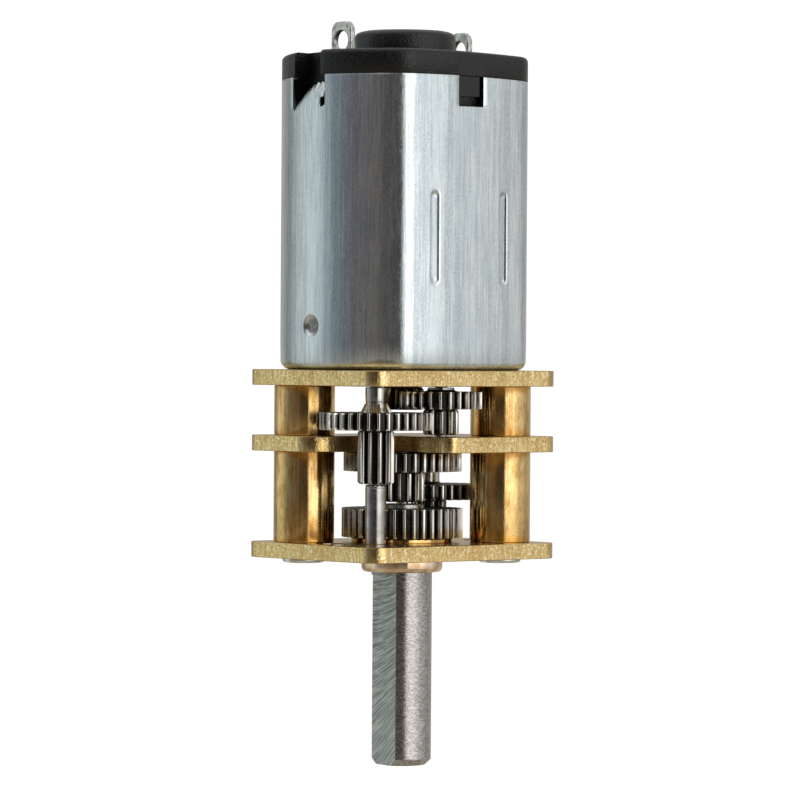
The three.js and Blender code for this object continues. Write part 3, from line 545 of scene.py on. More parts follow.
def ground_steel():
    """The output shaft: a rippled, pitted round, and a flat crossed by curved milling marks, with painted shade
    darkening the flat towards the shoulder.
    """
    f = Finish("ground_steel", (0.55, 0.54, 0.52), 0.25, 0.82)
    f_x, f_y, _ = f.facing()
    flat = f.band(f.along(f_x, f_y, FLAT_ANGLE), 0.9, 0.96)
    x, y, z = f.position()
    across = f.along(x, y, FLAT_ANGLE + math.pi / 2)
    low, _ = span("output_shaft")
    lean = f.band(z, low, FLAT_STOP, 0.72, 0.18)
    curve = f.maths("MULTIPLY", f.maths("MULTIPLY", across, across), 0.06)
    rise = f.maths("SUBTRACT", f.maths("SUBTRACT", z, curve), f.maths("MULTIPLY", across, lean))
    path = f.node("CombineXYZ", {"X": f.maths("MULTIPLY", across, 0.05), "Y": rise}).outputs[0]
    cuts = f.noise(path, 6.5, 3.0, 0.7)
    fine_cuts = f.noise(path, 18.0, 3.0, 0.75)
    milling = f.maths("MULTIPLY", f.maths("ADD", cuts, fine_cuts), 0.5)
    ripple = f.noise(f.place((0.75, 0.75, 1.5)), 8.5, 3.0, 0.65, 0.8)
    pits = f.noise(f.place(), 14.0, 3.0, 0.7)
    steel = f.mix(f.band(ripple, 0.38, 0.64), (0.31, 0.275, 0.25), (0.56, 0.54, 0.53))
    pitted = f.mix(f.band(pits, 0.56, 0.66, 0.0, 0.6), steel, (0.2, 0.15, 0.12))
    # Painted shade: the flat's tones run darker from its lower end up to the shoulder.
    upper = f.band(z, low, FLAT_STOP)
    groove_tone = f.mix(upper, (0.24, 0.25, 0.238), (0.2, 0.21, 0.2))
    ridge_tone = f.mix(upper, (0.62, 0.64, 0.6), (0.56, 0.58, 0.55))
    milled = f.mix(f.band(milling, 0.43, 0.59), groove_tone, ridge_tone)
    f.colour(f.mix(flat, pitted, milled))
    round_gloss = f.band(ripple, 0.3, 0.7, 0.13, 0.22)
    f.roughness(f.mix(flat, round_gloss, (0.4,) * 3))
    milled_skin = f.maths("MULTIPLY", flat, f.maths("MULTIPLY", milling, 1.4))
    f.bump(f.maths("MULTIPLY_ADD", f.maths("SUBTRACT", 1.0, flat), ripple, milled_skin), 0.0078)
    f.bump(pits, 0.0012)
    return f.material


def arbor_steel():
    """Drawn pins and sleeves, slightly dulled by oil."""
    f = Finish("arbor_steel", (0.5, 0.5, 0.5), 0.2)
    rings = f.noise(f.place((0.1, 0.1, 1)), 9.0, 4.0)
    stain = f.noise(f.place(), 2.0, 3.0)
    f.colour(f.mix(f.band(stain, 0.35, 0.7), (0.46, 0.44, 0.42), (0.32, 0.3, 0.275)))
    f.roughness(f.band(rings, 0.3, 0.7, 0.2, 0.3))
    f.bump(rings, 0.0003)
    return f.material


def hobbed(name, axis, teeth, dark, bright):
    """A hobbed gear: glossy flanks and lands streaked along the teeth, with black oil and painted shade in the
    roots and on the faces, and thin oil on the hub."""
    f = Finish(name, bright, 0.2, 0.94)
    x, y, _ = f.position()
    side = f.band(f.maths("ABSOLUTE", f.facing()[2]), 0.4, 0.8, 1.0, 0.0)
    away = f.diagonal(f.maths("SUBTRACT", x, axis.x), f.maths("SUBTRACT", y, axis.y))
    pitch = MODULE * teeth / 2
    # Black oil and painted shade in the tooth roots. The hub gets a thin share of the same darkening, as oil.
    gap = f.band(away, pitch - 0.7 * MODULE, pitch + 0.65 * MODULE, 0.96, 0.08)
    root = f.maths("MULTIPLY", gap, f.band(away, 0.5 * pitch, 0.6 * pitch, 0.24, 1.0))
    lines = f.noise(f.place((1, 1, 0.04)), 9.0, 4.0, 0.7)
    oil = f.noise(f.place(), 2.6, 4.0, 0.6)
    chips = f.noise(f.place(), 15.0, 3.0)
    steel = f.mix(f.band(lines, 0.35, 0.65), dark, bright)
    oiled_and_shaded = f.mix(f.maths("MULTIPLY", root, side), steel, (0.02, 0.018, 0.016))
    # The faces are dark with oil and painted shade.
    face = f.mix(f.band(oil, 0.35, 0.65), (0.03, 0.027, 0.023), (0.12, 0.105, 0.09))
    whole = f.mix(side, face, oiled_and_shaded)
    f.colour(f.mix(f.band(chips, 0.64, 0.72, 0.0, 0.4), whole, (0.4, 0.39, 0.37)))
    f.roughness(f.mix(side, (0.5,) * 3, f.band(oil, 0.35, 0.65, 0.13, 0.26)))
    f.bump(lines, 0.0016)
    f.bump(chips, 0.0012)
    return f.material


def plated_steel():
    """Bright nickel-plated screws and clips with light wear."""
    f = Finish("plated_steel", (0.74, 0.74, 0.71), 0.22)
    wear = f.noise(f.place(), 3.0, 5.0, 0.65)
    rings = f.noise(f.place((0.2, 0.2, 1)), 12.0, 3.0)
    f.colour(f.mix(f.band(wear, 0.4, 0.7), (0.78, 0.78, 0.75), (0.5, 0.49, 0.46)))
    f.roughness(f.band(wear, 0.35, 0.7, 0.15, 0.36))
    f.bump(rings, 0.004)
    return f.material


def tinned_brass():
    """Dip-tinned tags: a lumpy, mottled grey skin with darker flecks."""
    f = Finish("tinned_brass", (0.6, 0.6, 0.58), 0.35)
    mottle = f.noise(f.place(), 3.5, 5.0, 0.75)
    fine = f.noise(f.place(), 18.0, 3.0)
    tin = f.mix(f.band(mottle, 0.36, 0.64), (0.28, 0.275, 0.25), (0.74, 0.74, 0.7))
    f.colour(f.mix(f.band(fine, 0.55, 0.75, 0.0, 0.5), tin, (0.25, 0.23, 0.2)))
    f.roughness(f.band(mottle, 0.3, 0.7, 0.16, 0.4))
    f.bump(mottle, 0.03)
    f.bump(fine, 0.006)
    return f.material


def enamelled_copper():
    """Windings: close turns of enamelled wire."""
    f = Finish("enamelled_copper", (0.62, 0.26, 0.11), 0.22)
    turns = f.node("TexWave", {"Vector": f.place(), "Scale": 3.2, "Distortion": 0.4, "Detail": 1.0},
                   bands_direction="Z").outputs["Fac"]
    hue = f.noise(f.place(), 3.0, 3.0)
    f.colour(f.mix(f.band(hue, 0.35, 0.7), (0.68, 0.3, 0.13), (0.42, 0.15, 0.06)))
    f.roughness(f.band(hue, 0.3, 0.7, 0.16, 0.3))
    f.bump(turns, 0.03)
    return f.material


def bare_copper():
    """Commutator bars and brush strips, burnished where they rub."""
    f = Finish("bare_copper", (0.76, 0.44, 0.28), 0.25)
    rub = f.noise(f.place((0.1, 0.1, 1)), 9.0, 4.0)
    f.colour(f.mix(f.band(rub, 0.35, 0.7), (0.8, 0.48, 0.32), (0.5, 0.25, 0.14)))
    f.roughness(f.band(rub, 0.3, 0.7, 0.15, 0.38))
    f.bump(rub, 0.004)
    return f.material


def lamination_stack():
    """Thin stamped sheets, stacked along the axis."""
    f = Finish("lamination_stack", (0.42, 0.43, 0.45), 0.36)
    sheets = f.node("TexWave", {"Vector": f.place(), "Scale": 0.9, "Distortion": 0.1},
                    bands_direction="Z").outputs["Fac"]
    rust = f.noise(f.place(), 2.4, 4.0)
    f.colour(f.mix(f.band(rust, 0.45, 0.75), (0.45, 0.46, 0.48), (0.3, 0.25, 0.22)))
    f.roughness(f.band(rust, 0.3, 0.7, 0.28, 0.5))
    f.bump(sheets, 0.03)
    return f.material


def sintered_ferrite():
    """Ground dark magnet ceramic."""
    f = Finish("sintered_ferrite", (0.06, 0.06, 0.065), 0.6, 0.0)
    grit = f.noise(f.place(), 9.0, 5.0, 0.7)
    f.colour(f.mix(f.band(grit, 0.35, 0.7), (0.045, 0.045, 0.05), (0.11, 0.11, 0.115)))
    f.roughness(f.band(grit, 0.3, 0.7, 0.5, 0.75))
    f.bump(grit, 0.01)
    return f.material


STEEL_CAN = drawn_steel()
NYLON = black_nylon()
PILLAR_BRASS = turned_brass()
BRONZE = turned_bronze()
SHAFT_STEEL = ground_steel()
ARBOR_STEEL = arbor_steel()
PLATED = plated_steel()
TINNED = tinned_brass()
WINDING = enamelled_copper()
COPPER = bare_copper()
LAMINATIONS = lamination_stack()
FERRITE = sintered_ferrite()

# ---------- Plates, pillars, screws ----------

PILLAR_SPOTS = {side: middle(f"lower_pillar_{side}") for side in ("left", "right")}


def plate_corners(node):
    """A plate's four corners as (x, y, radius), going round from +X+Y."""
    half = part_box(node)[1] / MM
    return [(half.x * x, half.y * y, PLATE_CORNER) for x, y in ((1, 1), (-1, 1), (-1, -1), (1, -1))]


def plate(node, holes, corners=None):
    """A stamped plate with the frame screws' holes and the given ones, each as (x, y, radius)."""
    holes = holes + [(spot.x, spot.y, SCREW_BORE) for spot in PILLAR_SPOTS.values()]
    outlines = [rounded(corners or plate_corners(node))] + [circle(*hole) for hole in holes]
    piece = slab(f"{node}_stamping", outlines, *span(node), edge=PLATE_EDGE, edge_steps=2)
    finish_piece(piece, stamped_brass(f"stamped_brass_{node}", node), node)


def arbor_hole(body):
    return (*AXES[body], ARBOR_BORE)


def pair_of_holes(distance, radius):
    return [(distance, 0, radius), (-distance, 0, radius)]


plate("front_plate", pair_of_holes(*MOUNT_HOLE) + [
    (0, 0, BUSHING_SEAT), arbor_hole("second_gear"), arbor_hole("fourth_gear"),
])
back_right, back_left, (left, front, _), front_right = plate_corners("middle_plate")
notch_x, notch_y = NOTCH_CORNER
plate("middle_plate", [arbor_hole("first_gear"), arbor_hole("third_gear"), arbor_hole("fourth_gear")], [
    back_right, back_left, (left, notch_y, 1.15),
    (notch_x, notch_y, 0.25), (notch_x, front, 0.6), front_right,
])
plate("rear_plate", [(0, 0, MOTOR_BOSS_HOLE), *pair_of_holes(*MOTOR_SCREW_HOLE),
                     arbor_hole("first_gear"), arbor_hole("second_gear")])

broken_edge = [(PILLAR_EDGE, 0), (PILLAR_EDGE * 0.3, PILLAR_EDGE * 0.3), (0, PILLAR_EDGE)]
for side, spot in PILLAR_SPOTS.items():
    for level in ("lower", "upper"):
        node = f"{level}_pillar_{side}"
        bottom, top = span(node)
        profile = [(SCREW_BORE, bottom)]
        profile += [(PILLAR_RADIUS - inset, bottom + rise) for inset, rise in broken_edge]
        profile += [(PILLAR_RADIUS - inset, top - rise) for inset, rise in reversed(broken_edge)]
        profile += [(SCREW_BORE, top), (SCREW_BORE, bottom)]
        finish_piece(lathe(f"{node}_turned", profile, spot), PILLAR_BRASS, node)
    node = f"frame_screw_{side}"
    bottom, top = span(node)
    screw = lathe(f"{node}_slotted", [
        (0, bottom), (SCREW_HEAD - 0.25, bottom), (SCREW_HEAD - 0.08, bottom + 0.03),
        (SCREW_HEAD - 0.02, bottom + 0.08), (SCREW_HEAD, bottom + 0.14), (SCREW_HEAD, -0.02),
        (SCREW_HEAD - 0.02, 0), (0.6, 0), (0.6, top), (0, top),
    ], spot)
    reach = Vector((SCREW_HEAD + 0.25, SCREW_SLOT["half"]))
    slot = block((*(spot - reach), bottom - 0.2), (*(spot + reach), bottom + SCREW_SLOT["depth"]))
    finish_piece(soften(carve(screw, [slot]), 0.02), PLATED, node)

# ---------- Output shaft and bearing ----------

shaft_low, shaft_high = span("output_shaft")
gear_low, _ = span("output_gear")
shaft = lathe("output_shaft_ground", [
    (0, shaft_low), (1.14, shaft_low), (1.2, shaft_low + 0.01), (1.26, shaft_low + 0.05),
    (1.46, shaft_low + 0.25), (1.49, shaft_low + 0.3), (SHAFT_RADIUS, shaft_low + 0.36),
    (SHAFT_RADIUS, gear_low), (1.05, gear_low), (1.05, shaft_high - 0.04), (1.01, shaft_high),
    (PIN_BORE, shaft_high), (PIN_BORE, 1.7), (0, 1.7),
], segments=160)
waste = block((FLAT_DISTANCE, -3, shaft_low - 1), (FLAT_DISTANCE + 2, 3, FLAT_STOP), FLAT_ANGLE)
carve(shaft, [waste])
soften(shaft, 0.018, 2, 25)
finish_piece(shaft, SHAFT_STEEL, "output_shaft", smooth=24)

bushing_low, bushing_high = span("output_bushing")
finish_piece(lathe("output_bushing_turned", [
    (1.53, bushing_low + 0.03), (1.57, bushing_low), (1.8, bushing_low), (1.88, bushing_low + 0.02),
    (1.97, bushing_low + 0.1), (2.01, bushing_low + 0.22), (2.01, -0.03), (1.98, 0), (1.8, 0),
    (1.8, bushing_high), (1.53, bushing_high), (1.53, bushing_low + 0.03),
], segments=160), BRONZE, "output_bushing")

washer_low, washer_high = span("thrust_washer")
finish_piece(slab("thrust_washer_turned", [circle(0, 0, 2.53, 128), circle(0, 0, 1.55, 96)],
                  washer_low, washer_high, 0.03, 2), PILLAR_BRASS, "thrust_washer")

# ---------- Gears ----------


def involute(angle):
    return math.tan(angle) - angle


def gear_outline(axis, teeth, phase, flank_steps=5):
    """Spur gear outline with involute flanks and rounded tips; one tooth points along the phase."""
    pitch = MODULE * teeth / 2
    tip, root = pitch + MODULE, pitch - 1.25 * MODULE
    base = pitch * math.cos(PRESSURE_ANGLE)
    at_pitch = math.pi / (2 * teeth) - BACKLASH / (2 * pitch) + involute(PRESSURE_ANGLE)

    def half(radius):
        return at_pitch - involute(math.acos(min(1, base / radius)))

    start = max(base, root)
    root_half = half(start) * (ROOT_RELIEF if root < base else 1)
    flank = [(root, root_half * 1.12), (root + 0.02, root_half)]
    if root < base:
        flank.append((base, half(base)))
    first, last = flank[-1][0], tip - TIP_ROUND
    radii = [first + (last - first) * i / flank_steps for i in range(1, flank_steps + 1)]
    flank += [(radius, half(radius)) for radius in radii]
    for turn in (math.pi / 6, math.pi / 3, math.pi / 2):
        inward = TIP_ROUND * (1 - math.cos(turn)) / tip
        flank.append((last + TIP_ROUND * math.sin(turn), half(last) - inward))
    points = []
    for tooth in range(teeth):
        mid = phase + 2 * math.pi * tooth / teeth
        rising = [(r, mid - h) for r, h in flank]
        falling = [(r, mid + h) for r, h in reversed(flank)]
        points += [(axis.x + r * math.cos(a), axis.y + r * math.sin(a)) for r, a in rising + falling]
    return points


HOBBED_STEEL = (0.5, 0.47, 0.43), (0.82, 0.78, 0.72)
# The motor pinion's brass is darkened: painted shade for the shadow it sits in.
HOBBED_BRASS_IN_PAINTED_SHADE = (0.26, 0.18, 0.07), (0.5, 0.36, 0.16)
PHASES = {}  # a pinion's tooth meets its wheel's gap
for pinion, pinion_body, wheel, wheel_body in MESHES:
    line = AXES[wheel_body] - AXES[pinion_body]
    direction = math.atan2(line.y, line.x)
    PHASES[pinion] = direction
    PHASES[wheel] = direction + math.pi + math.pi / TEETH[wheel]


def chamfer_tips(gear, axis, tip, low, high):
    """Turns the tooth tips down to a rounded chamfer at both ends of a pinion."""
    bm = bmesh.new()
    bm.from_mesh(gear.data)
    for height in [low + TIP_CHAMFER * share for share in (0.3, 0.6, 1.0)] + [high - TIP_CHAMFER]:
        geometry = bm.verts[:] + bm.edges[:] + bm.faces[:]
        bmesh.ops.bisect_plane(bm, geom=geometry, plane_co=(0, 0, height), plane_no=(0, 0, 1))
    for vert in bm.verts:
        past = max(low + TIP_CHAMFER - vert.co.z, vert.co.z - high + TIP_CHAMFER, 0) / TIP_CHAMFER
        limit = tip - TIP_CHAMFER * past * past
        arm = Vector(vert.co[:2]) - axis
        if arm.length > limit:
            arm *= limit / arm.length
            vert.co.x, vert.co.y = axis + arm
    bm.to_mesh(gear.data)
    bm.free()


BORES = {"motor_pinion": 0.51, "output_gear": 1.06}
HUBS = {  # (radius, height) profile above each wheel's top face
    "first_gear_wheel": [(0.9, 0), (0.7, 0.05), (0.66, 0.1), (0.66, 0.17), (0.62, 0.2)],
    "second_gear_wheel": [(0.6, 0), (0.55, 0.2), (0.5, 0.42), (0.52, 0.5), (0.54, 0.9), (0.54, 1.19),
                          (0.5, 1.23)],
    "fourth_gear_wheel": [(0.8, 0), (0.6, 0.06), (0.54, 0.12), (0.54, 1.59), (0.5, 1.63)],
}
# The second pinion's teeth run out in a cone above the wheel: their size, and the height above its face.
RUN_OUT = [(0.86, -0.02), (0.84, 0.03), (0.74, 0.2), (0.66, 0.36), (0.6, 0.44)]
for node, teeth in TEETH.items():
    axis = AXES[BODY_OF[node]]
    low, high = span(node)
    bore = BORES.get(node, PIN_BORE)
    hub = HUBS.get(node)
    face = high - hub[-1][1] if hub else high
    outline = gear_outline(axis, teeth, PHASES[node])
    gear = slab(f"{node}_teeth", [outline, circle(*axis, bore, 32)], low, face, 0.018, 1)
    if node.endswith("pinion"):
        chamfer_tips(gear, axis, MODULE * (teeth / 2 + 1), low, face)
    if node == "second_gear_wheel":
        pinion = "second_gear_pinion"
        arms = [Vector(point) - axis for point in gear_outline(axis, TEETH[pinion], PHASES[pinion])]
        layers = [([axis + arm * size for arm in arms], face + rise) for size, rise in RUN_OUT]
        join_pieces(gear, loft("run_out", layers))
    if hub:
        profile = [(bore, face)] + [(r, face + h) for r, h in hub] + [(bore, high), (bore, face)]
        join_pieces(gear, lathe("collar", profile, axis, 48))
    dark, bright = HOBBED_BRASS_IN_PAINTED_SHADE if node == "motor_pinion" else HOBBED_STEEL
    material = hobbed(f"hobbed_{node}", axis, teeth, dark, bright)
    finish_piece(gear, material, node, smooth=30)

spacer_low, spacer_high = span("second_gear_spacer")
finish_piece(lathe("second_gear_spacer_turned", [
    (PIN_BORE, spacer_low), (0.49, spacer_low), (0.513, spacer_low + 0.03), (0.513, spacer_high - 0.2),
    (0.5, spacer_high - 0.16), (0.513, spacer_high - 0.12), (0.505, spacer_high - 0.05),
    (0.47, spacer_high), (PIN_BORE, spacer_high), (PIN_BORE, spacer_low),
], AXES["second_gear"], 64), ARBOR_STEEL, "second_gear_spacer")

# ---------- Motor can ----------

can_low, _ = span("motor_can")
SLOT_BOTTOM = CAN_TOP - KEY_DEPTH
TONGUE_BOTTOM = SLOT_BOTTOM - TONGUE_START
# Each flat side is crowned towards its corners: a wide arc eases it into the corner's own arc.
crown_drop = CROWN_RADIUS * (1 - math.cos(CROWN_TURN))
corner_y = CAN_FLAT - crown_drop - CAN_CORNER * math.cos(CROWN_TURN)
corner_x = math.sqrt((CAN_RADIUS - CAN_CORNER) ** 2 - corner_y ** 2)
crown_edge = corner_x + CAN_CORNER * math.sin(CROWN_TURN)
crown_start = crown_edge - CROWN_RADIUS * math.sin(CROWN_TURN)
tangent = math.atan2(corner_y, corner_x)


def clamp(value):
    return min(max(value, 0), 1)


def on_flat(x, y):
    return abs(x) < crown_edge and abs(y) > corner_y + 1


def across_crimp(x, y):
    """Place across a crimped tongue, the same way round on both round sides."""
    return y if x < 0 else -y


def flat_point(x):
    """Height and direction of the -Y side at a distance x from its middle."""
    turn = math.asin(max(x - crown_start, 0) / CROWN_RADIUS)
    return -CAN_FLAT + CROWN_RADIUS * (1 - math.cos(turn)), turn - math.pi / 2


def can_side():
    """Columns of half the can, from the middle of the -Y side round the +X side to the middle of the +Y
    side, each as (x, y, direction). They crowd at the ribs, slots and crimp."""
    side_x = [0, 0.2, 0.4, 0.6, KEY_HALF, 1.1, 1.4, 1.6, 1.8]
    side_x += [RIB_X + side * (RIB_HALF - RIB_SLOPE * i / 7) for side in (-1, 1) for i in range(-1, 9)]
    side_x = sorted(side_x + [RIB_X, 2.65, 2.8, 3.0, 3.2])
    up = [(x, *flat_point(x)) for x in side_x]
    start = CROWN_TURN - math.pi / 2
    blend = [start + (-tangent - start) * i / 14 for i in range(15)]
    up += [(corner_x + CAN_CORNER * math.cos(t), -corner_y + CAN_CORNER * math.sin(t), t) for t in blend]
    cuts = [CRIMP_SPAN[1], CRIMP_SPAN[1] + SLIT, -CRIMP_SPAN[0], -CRIMP_SPAN[0] + SLIT]
    sides = sorted(cuts + [1.1 - 0.055 * i for i in range(21)], reverse=True)
    widest = math.asin(sides[0] / CAN_RADIUS)
    turns = [-tangent + (tangent - widest) * i / 9 for i in range(1, 9)]
    turns += [-math.asin(y / CAN_RADIUS) for y in sides]
    up += [(CAN_RADIUS * math.cos(t), CAN_RADIUS * math.sin(t), t) for t in turns]
    return up + [(x, -y, -t) for x, y, t in reversed(up[:-1])][:-1]


def groove(x, z):
    """How deep a rib is pressed at a point of a flat side, from 0 to 1."""
    low, high = RIB_SPAN
    reach = max(low + RIB_HALF - z, z - (high - RIB_HALF), 0)
    distance = math.hypot(abs(abs(x) - RIB_X), reach)
    return 1 - math.sqrt(1 - clamp((RIB_HALF - distance) / RIB_SLOPE) ** 2)


def crimp_top(across):
    """Height of the torn edge of the crimped tongue: low at one side, arching up to the other."""
    low, high = CRIMP_SPAN
    share = clamp((high - across) / (high - low))
    arch = math.sin(min(share * 1.25, 1) * math.pi / 2)
    torn = 0.09 * noise.noise(Vector((across * 6, 3.1, 0)))
    return CAN_TOP - CRIMP_DEPTH + 0.18 + 0.95 * arch + torn


def droop(x, y):
    """How far the rim sits below its nominal height: the cap was pressed on slightly askew."""
    beyond = x * math.sin(DROOP_TURN) + y * math.cos(DROOP_TURN) + DROOP_START
    return min(max(beyond * DROOP_SLOPE, 0), DROOP_MOST)


def wall_point(x, y, turn, z):
    """A point of the wall, with the ribs, dimples, crimped tongues and drooping rim pressed into it."""
    push, height = 0.0, z
    across = across_crimp(x, y)
    low, high = CRIMP_SPAN
    on_round = abs(x) > ROUND_START
    if on_flat(x, y):
        push = DENT_DEPTH * groove(x, z)
    if on_round:
        distance = math.hypot(y - math.copysign(DIMPLE_SHIFT, x), z - DIMPLE_HEIGHT)
        shape = clamp((DIMPLE_RADIUS - distance) / DIMPLE_SLOPE)
        push = DIMPLE_DEPTH * shape * shape * (3 - 2 * shape)
    if on_round and low - 0.001 < across < high + 0.001 and z > TONGUE_BOTTOM:
        share = (z - TONGUE_BOTTOM) / (CAN_TOP - TONGUE_BOTTOM)
        height = TONGUE_BOTTOM + share * (crimp_top(across) - TONGUE_BOTTOM)
        push = CRIMP_PUSH * share ** 3
    height -= droop(x, y) * clamp((z - SLOT_BOTTOM) / KEY_DEPTH)
    return x - push * math.cos(turn), y - push * math.sin(turn), height


def is_open(x, y, z):
    """Whether the wall is cut away: in a key slot, beside a crimped tongue, or in the tear at its foot."""
    low, high = CRIMP_SPAN
    across = across_crimp(x, y)
    beside = low - SLIT < across < low or high < across < high + SLIT
    torn = low < across < low + TEAR["width"] and z < SLOT_BOTTOM + TEAR["height"]
    in_key = on_flat(x, y) and abs(x) < KEY_HALF
    return z > SLOT_BOTTOM - 0.001 and (in_key or abs(x) > ROUND_START and (beside or torn))


def can_shell():
    """The drawn can: rings of points from the hole in its floor, round its lower edge and up its wall."""
    half = can_side()
    columns = half + [(-x, -y, turn + math.pi) for x, y, turn in half]
    rib_rows = [RIB_SPAN[0] - 0.12 + 0.08 * i for i in range(8)]
    rib_rows += [RIB_SPAN[1] + 0.12 - 0.08 * i for i in range(8)]
    dimple_rows = [DIMPLE_HEIGHT - 0.7 + 0.07 * i for i in range(21)]
    slot_rows = [SLOT_BOTTOM + rise for rise in (-0.3, -0.1)]
    slot_rows += [SLOT_BOTTOM + KEY_DEPTH * i / 10 for i in range(11)]
    plain_rows = [12.5, 14.5, 15.5, 16.5] + [CAN_TOP - 4.5 + 0.5 * i for i in range(6)]
    rows = sorted(set(round(z, 4) for z in rib_rows + dimple_rows + slot_rows + plain_rows))
    directions = [math.atan2(y, x) for x, y, _ in columns]
    rings = [[(CAN_HOLE * math.cos(t), CAN_HOLE * math.sin(t), can_low) for t in directions]]
    for bend in (math.pi / 2 * i / 6 for i in range(6)):
        inset = CAN_EDGE * (1 - math.sin(bend))
        height = can_low + CAN_EDGE * (1 - math.cos(bend))
        rings.append([(x - inset * math.cos(t), y - inset * math.sin(t), height) for x, y, t in columns])
    heights = [can_low] * len(rings) + rows
    rings += [[wall_point(*column, z) for column in columns] for z in rows]
    bm = bmesh.new()
    grid = [[bm.verts.new(point) for point in ring] for ring in rings]
    for lower, upper, z in zip(grid, grid[1:], heights):
        for here, (x, y, _) in enumerate(columns):
            there = (here + 1) % len(columns)
            next_x, next_y, _ = columns[there]
            if not is_open((x + next_x) / 2, (y + next_y) / 2, z):
                bm.faces.new((lower[here], lower[there], upper[there], upper[here]))
    bmesh.ops.recalc_face_normals(bm, faces=bm.faces)
    shell = object_from_bmesh("motor_can_drawn", bm)
    wall = shell.modifiers.new("wall", "SOLIDIFY")
    wall.thickness = CAN_WALL
    wall.offset = -1
    apply_modifiers(shell)
    return soften(shell, 0.03, 1, 60)


finish_piece(can_shell(), STEEL_CAN, "motor_can", smooth=50)

# ---------- End cap ----------


def can_outline(inset):
    """The can's outline seen from above, set in by the given amount."""
    crown, corner = CROWN_RADIUS - inset, CAN_CORNER - inset
    bend = CROWN_TURN - math.pi / 2
    quarter = arc(crown_start, CROWN_RADIUS - CAN_FLAT, crown, -math.pi / 2, bend, 6)[:-1]
    quarter += arc(corner_x, -corner_y, corner, bend, -tangent, 8)
    half = quarter + arc(0, 0, CAN_RADIUS - inset, -tangent, tangent, 28)[1:-1]
    half += [(x, -y) for x, y in reversed(quarter)]
    return half + [(-x, -y) for x, y in half]


cap_low, cap_high = span("end_cap")
CAP_TOP = cap_high - BOSS_HEIGHT
quarter_turn = [math.pi / 2 * i / 5 for i in range(6)]
layers = [(can_outline(0.03), CAN_TOP + 0.01), (can_outline(0), CAN_TOP + 0.05)]
layers += [(can_outline(CAP_EDGE * (1 - math.cos(t))), CAP_TOP - CAP_EDGE * (1 - math.sin(t)))
           for t in quarter_turn]
cap = loft("end_cap_moulded", layers)
plug_outline = can_outline(CAN_WALL + 0.04)
plug = loft("plug", [(plug_outline, cap_low + 0.3), (plug_outline, CAN_TOP + 0.1)])
profile = [(0, CAP_TOP - 0.2), (BOSS_RADIUS + 0.08, CAP_TOP - 0.2), (BOSS_RADIUS + 0.08, CAP_TOP),
           (BOSS_RADIUS, CAP_TOP + 0.08)]
profile += [(BOSS_RADIUS - BOSS_DOME * (1 - math.cos(t)), cap_high - BOSS_EDGE * (1 - math.sin(t)))
            for t in quarter_turn]
boss = lathe("boss", profile + [(0, cap_high)], segments=128)
tabs = []
for side in (-1, 1):
    for left, right, setback, depth in KEY_TABS:
        near, far = sorted((side * 4.2, side * (CAN_FLAT - setback)))
        tabs.append(block((left, near, CAN_TOP - depth), (right, far, CAN_TOP + 0.1)))
carve(cap, [plug, boss, *tabs], "UNION")
bore_low, bore_high = CAP_TOP - 0.3, cap_high + 1
tools = [lathe("bore", [(0, bore_low), (0.62, bore_low), (0.62, bore_high), (0, bore_high)])]
for side in (-1, 1):
    near, far = sorted((side * 5.05, side * 7))
    start, end = sorted(-side * y for y in POCKET_SPAN)
    tools.append(block((near, start, CAN_TOP - 2), (far, end, CAP_TOP + 1)))
    spot = middle("terminal_left" if side < 0 else "terminal_right")
    reach = Vector((0.18, TAG_HALF + 0.03))
    tools.append(block((*(spot - reach), CAP_TOP - 0.5), (*(spot + reach), CAP_TOP + 1)))
carve(cap, tools)
for vert in cap.data.vertices:
    on_flange = CAN_TOP - 0.5 < vert.co.z < CAP_TOP + 0.01 and math.hypot(*vert.co[:2]) > BOSS_RADIUS + 0.3
    vert.co.z -= droop(*vert.co[:2]) * on_flange
finish_piece(soften(cap, 0.035, 2, 50), NYLON, "end_cap", smooth=40)

# ---------- Terminals ----------

for name, lean in TAG_LEAN.items():
    node = f"terminal_{name}"
    low, high = span(node)
    spot = middle(node)
    outline = rounded([(TAG_HALF, low, 0.05), (TAG_HALF, high, 0.5), (-TAG_HALF, high, 0.5),
                       (-TAG_HALF, low, 0.05)], 12)
    tag = slab(f"{node}_tinned", [outline, circle(0, high - 0.95, 0.5, 48)], -0.15, 0.15, 0.06, 2)
    stand = Matrix(((0, 0, 1, spot.x), (1, 0, 0, spot.y), (0, 1, 0, 0), (0, 0, 0, 1)))
    tag.data.transform(stand)
    for vert in tag.data.vertices:
        above = max(vert.co.z - CAP_TOP, 0)
        vert.co.y += lean * above * (vert.co.y < spot.y)
    finish_piece(tag, TINNED, node)

# ---------- Pieces that keep their CAD shape ----------

KEPT = {
    ARBOR_STEEL: ["first_gear_arbor", "second_gear_arbor", "center_arbor", "fourth_gear_arbor",
                  "motor_shaft"],
    BRONZE: ["front_bearing", "rear_bearing"],
    PLATED: ["motor_screw_left", "motor_screw_right", "magnet_clip"],
    FERRITE: ["magnet_left", "magnet_right"],
    LAMINATIONS: ["armature_stack"],
    WINDING: ["coil_a", "coil_b", "coil_c"],
    COPPER: ["commutator_segment_a", "commutator_segment_b", "commutator_segment_c",
             "brush_left", "brush_right"],
    NYLON: ["commutator_core"],
}
for material, members in KEPT.items():
    for node in members:
        mesh = nodes[node].data
        mesh.materials.clear()
        mesh.materials.append(material)

# ---------- Stage: floor, light, camera ----------

CAMERA_TURN = math.radians(40.32)
CAMERA_TILT = math.radians(0.694)
CAMERA_ROLL = math.radians(0.372)
CAMERA_DISTANCE = 0.2452
CAMERA_LENS = 223.07
AIM_HEIGHT = 7.79 * MM
AIM_SHIFT = -0.142 * MM

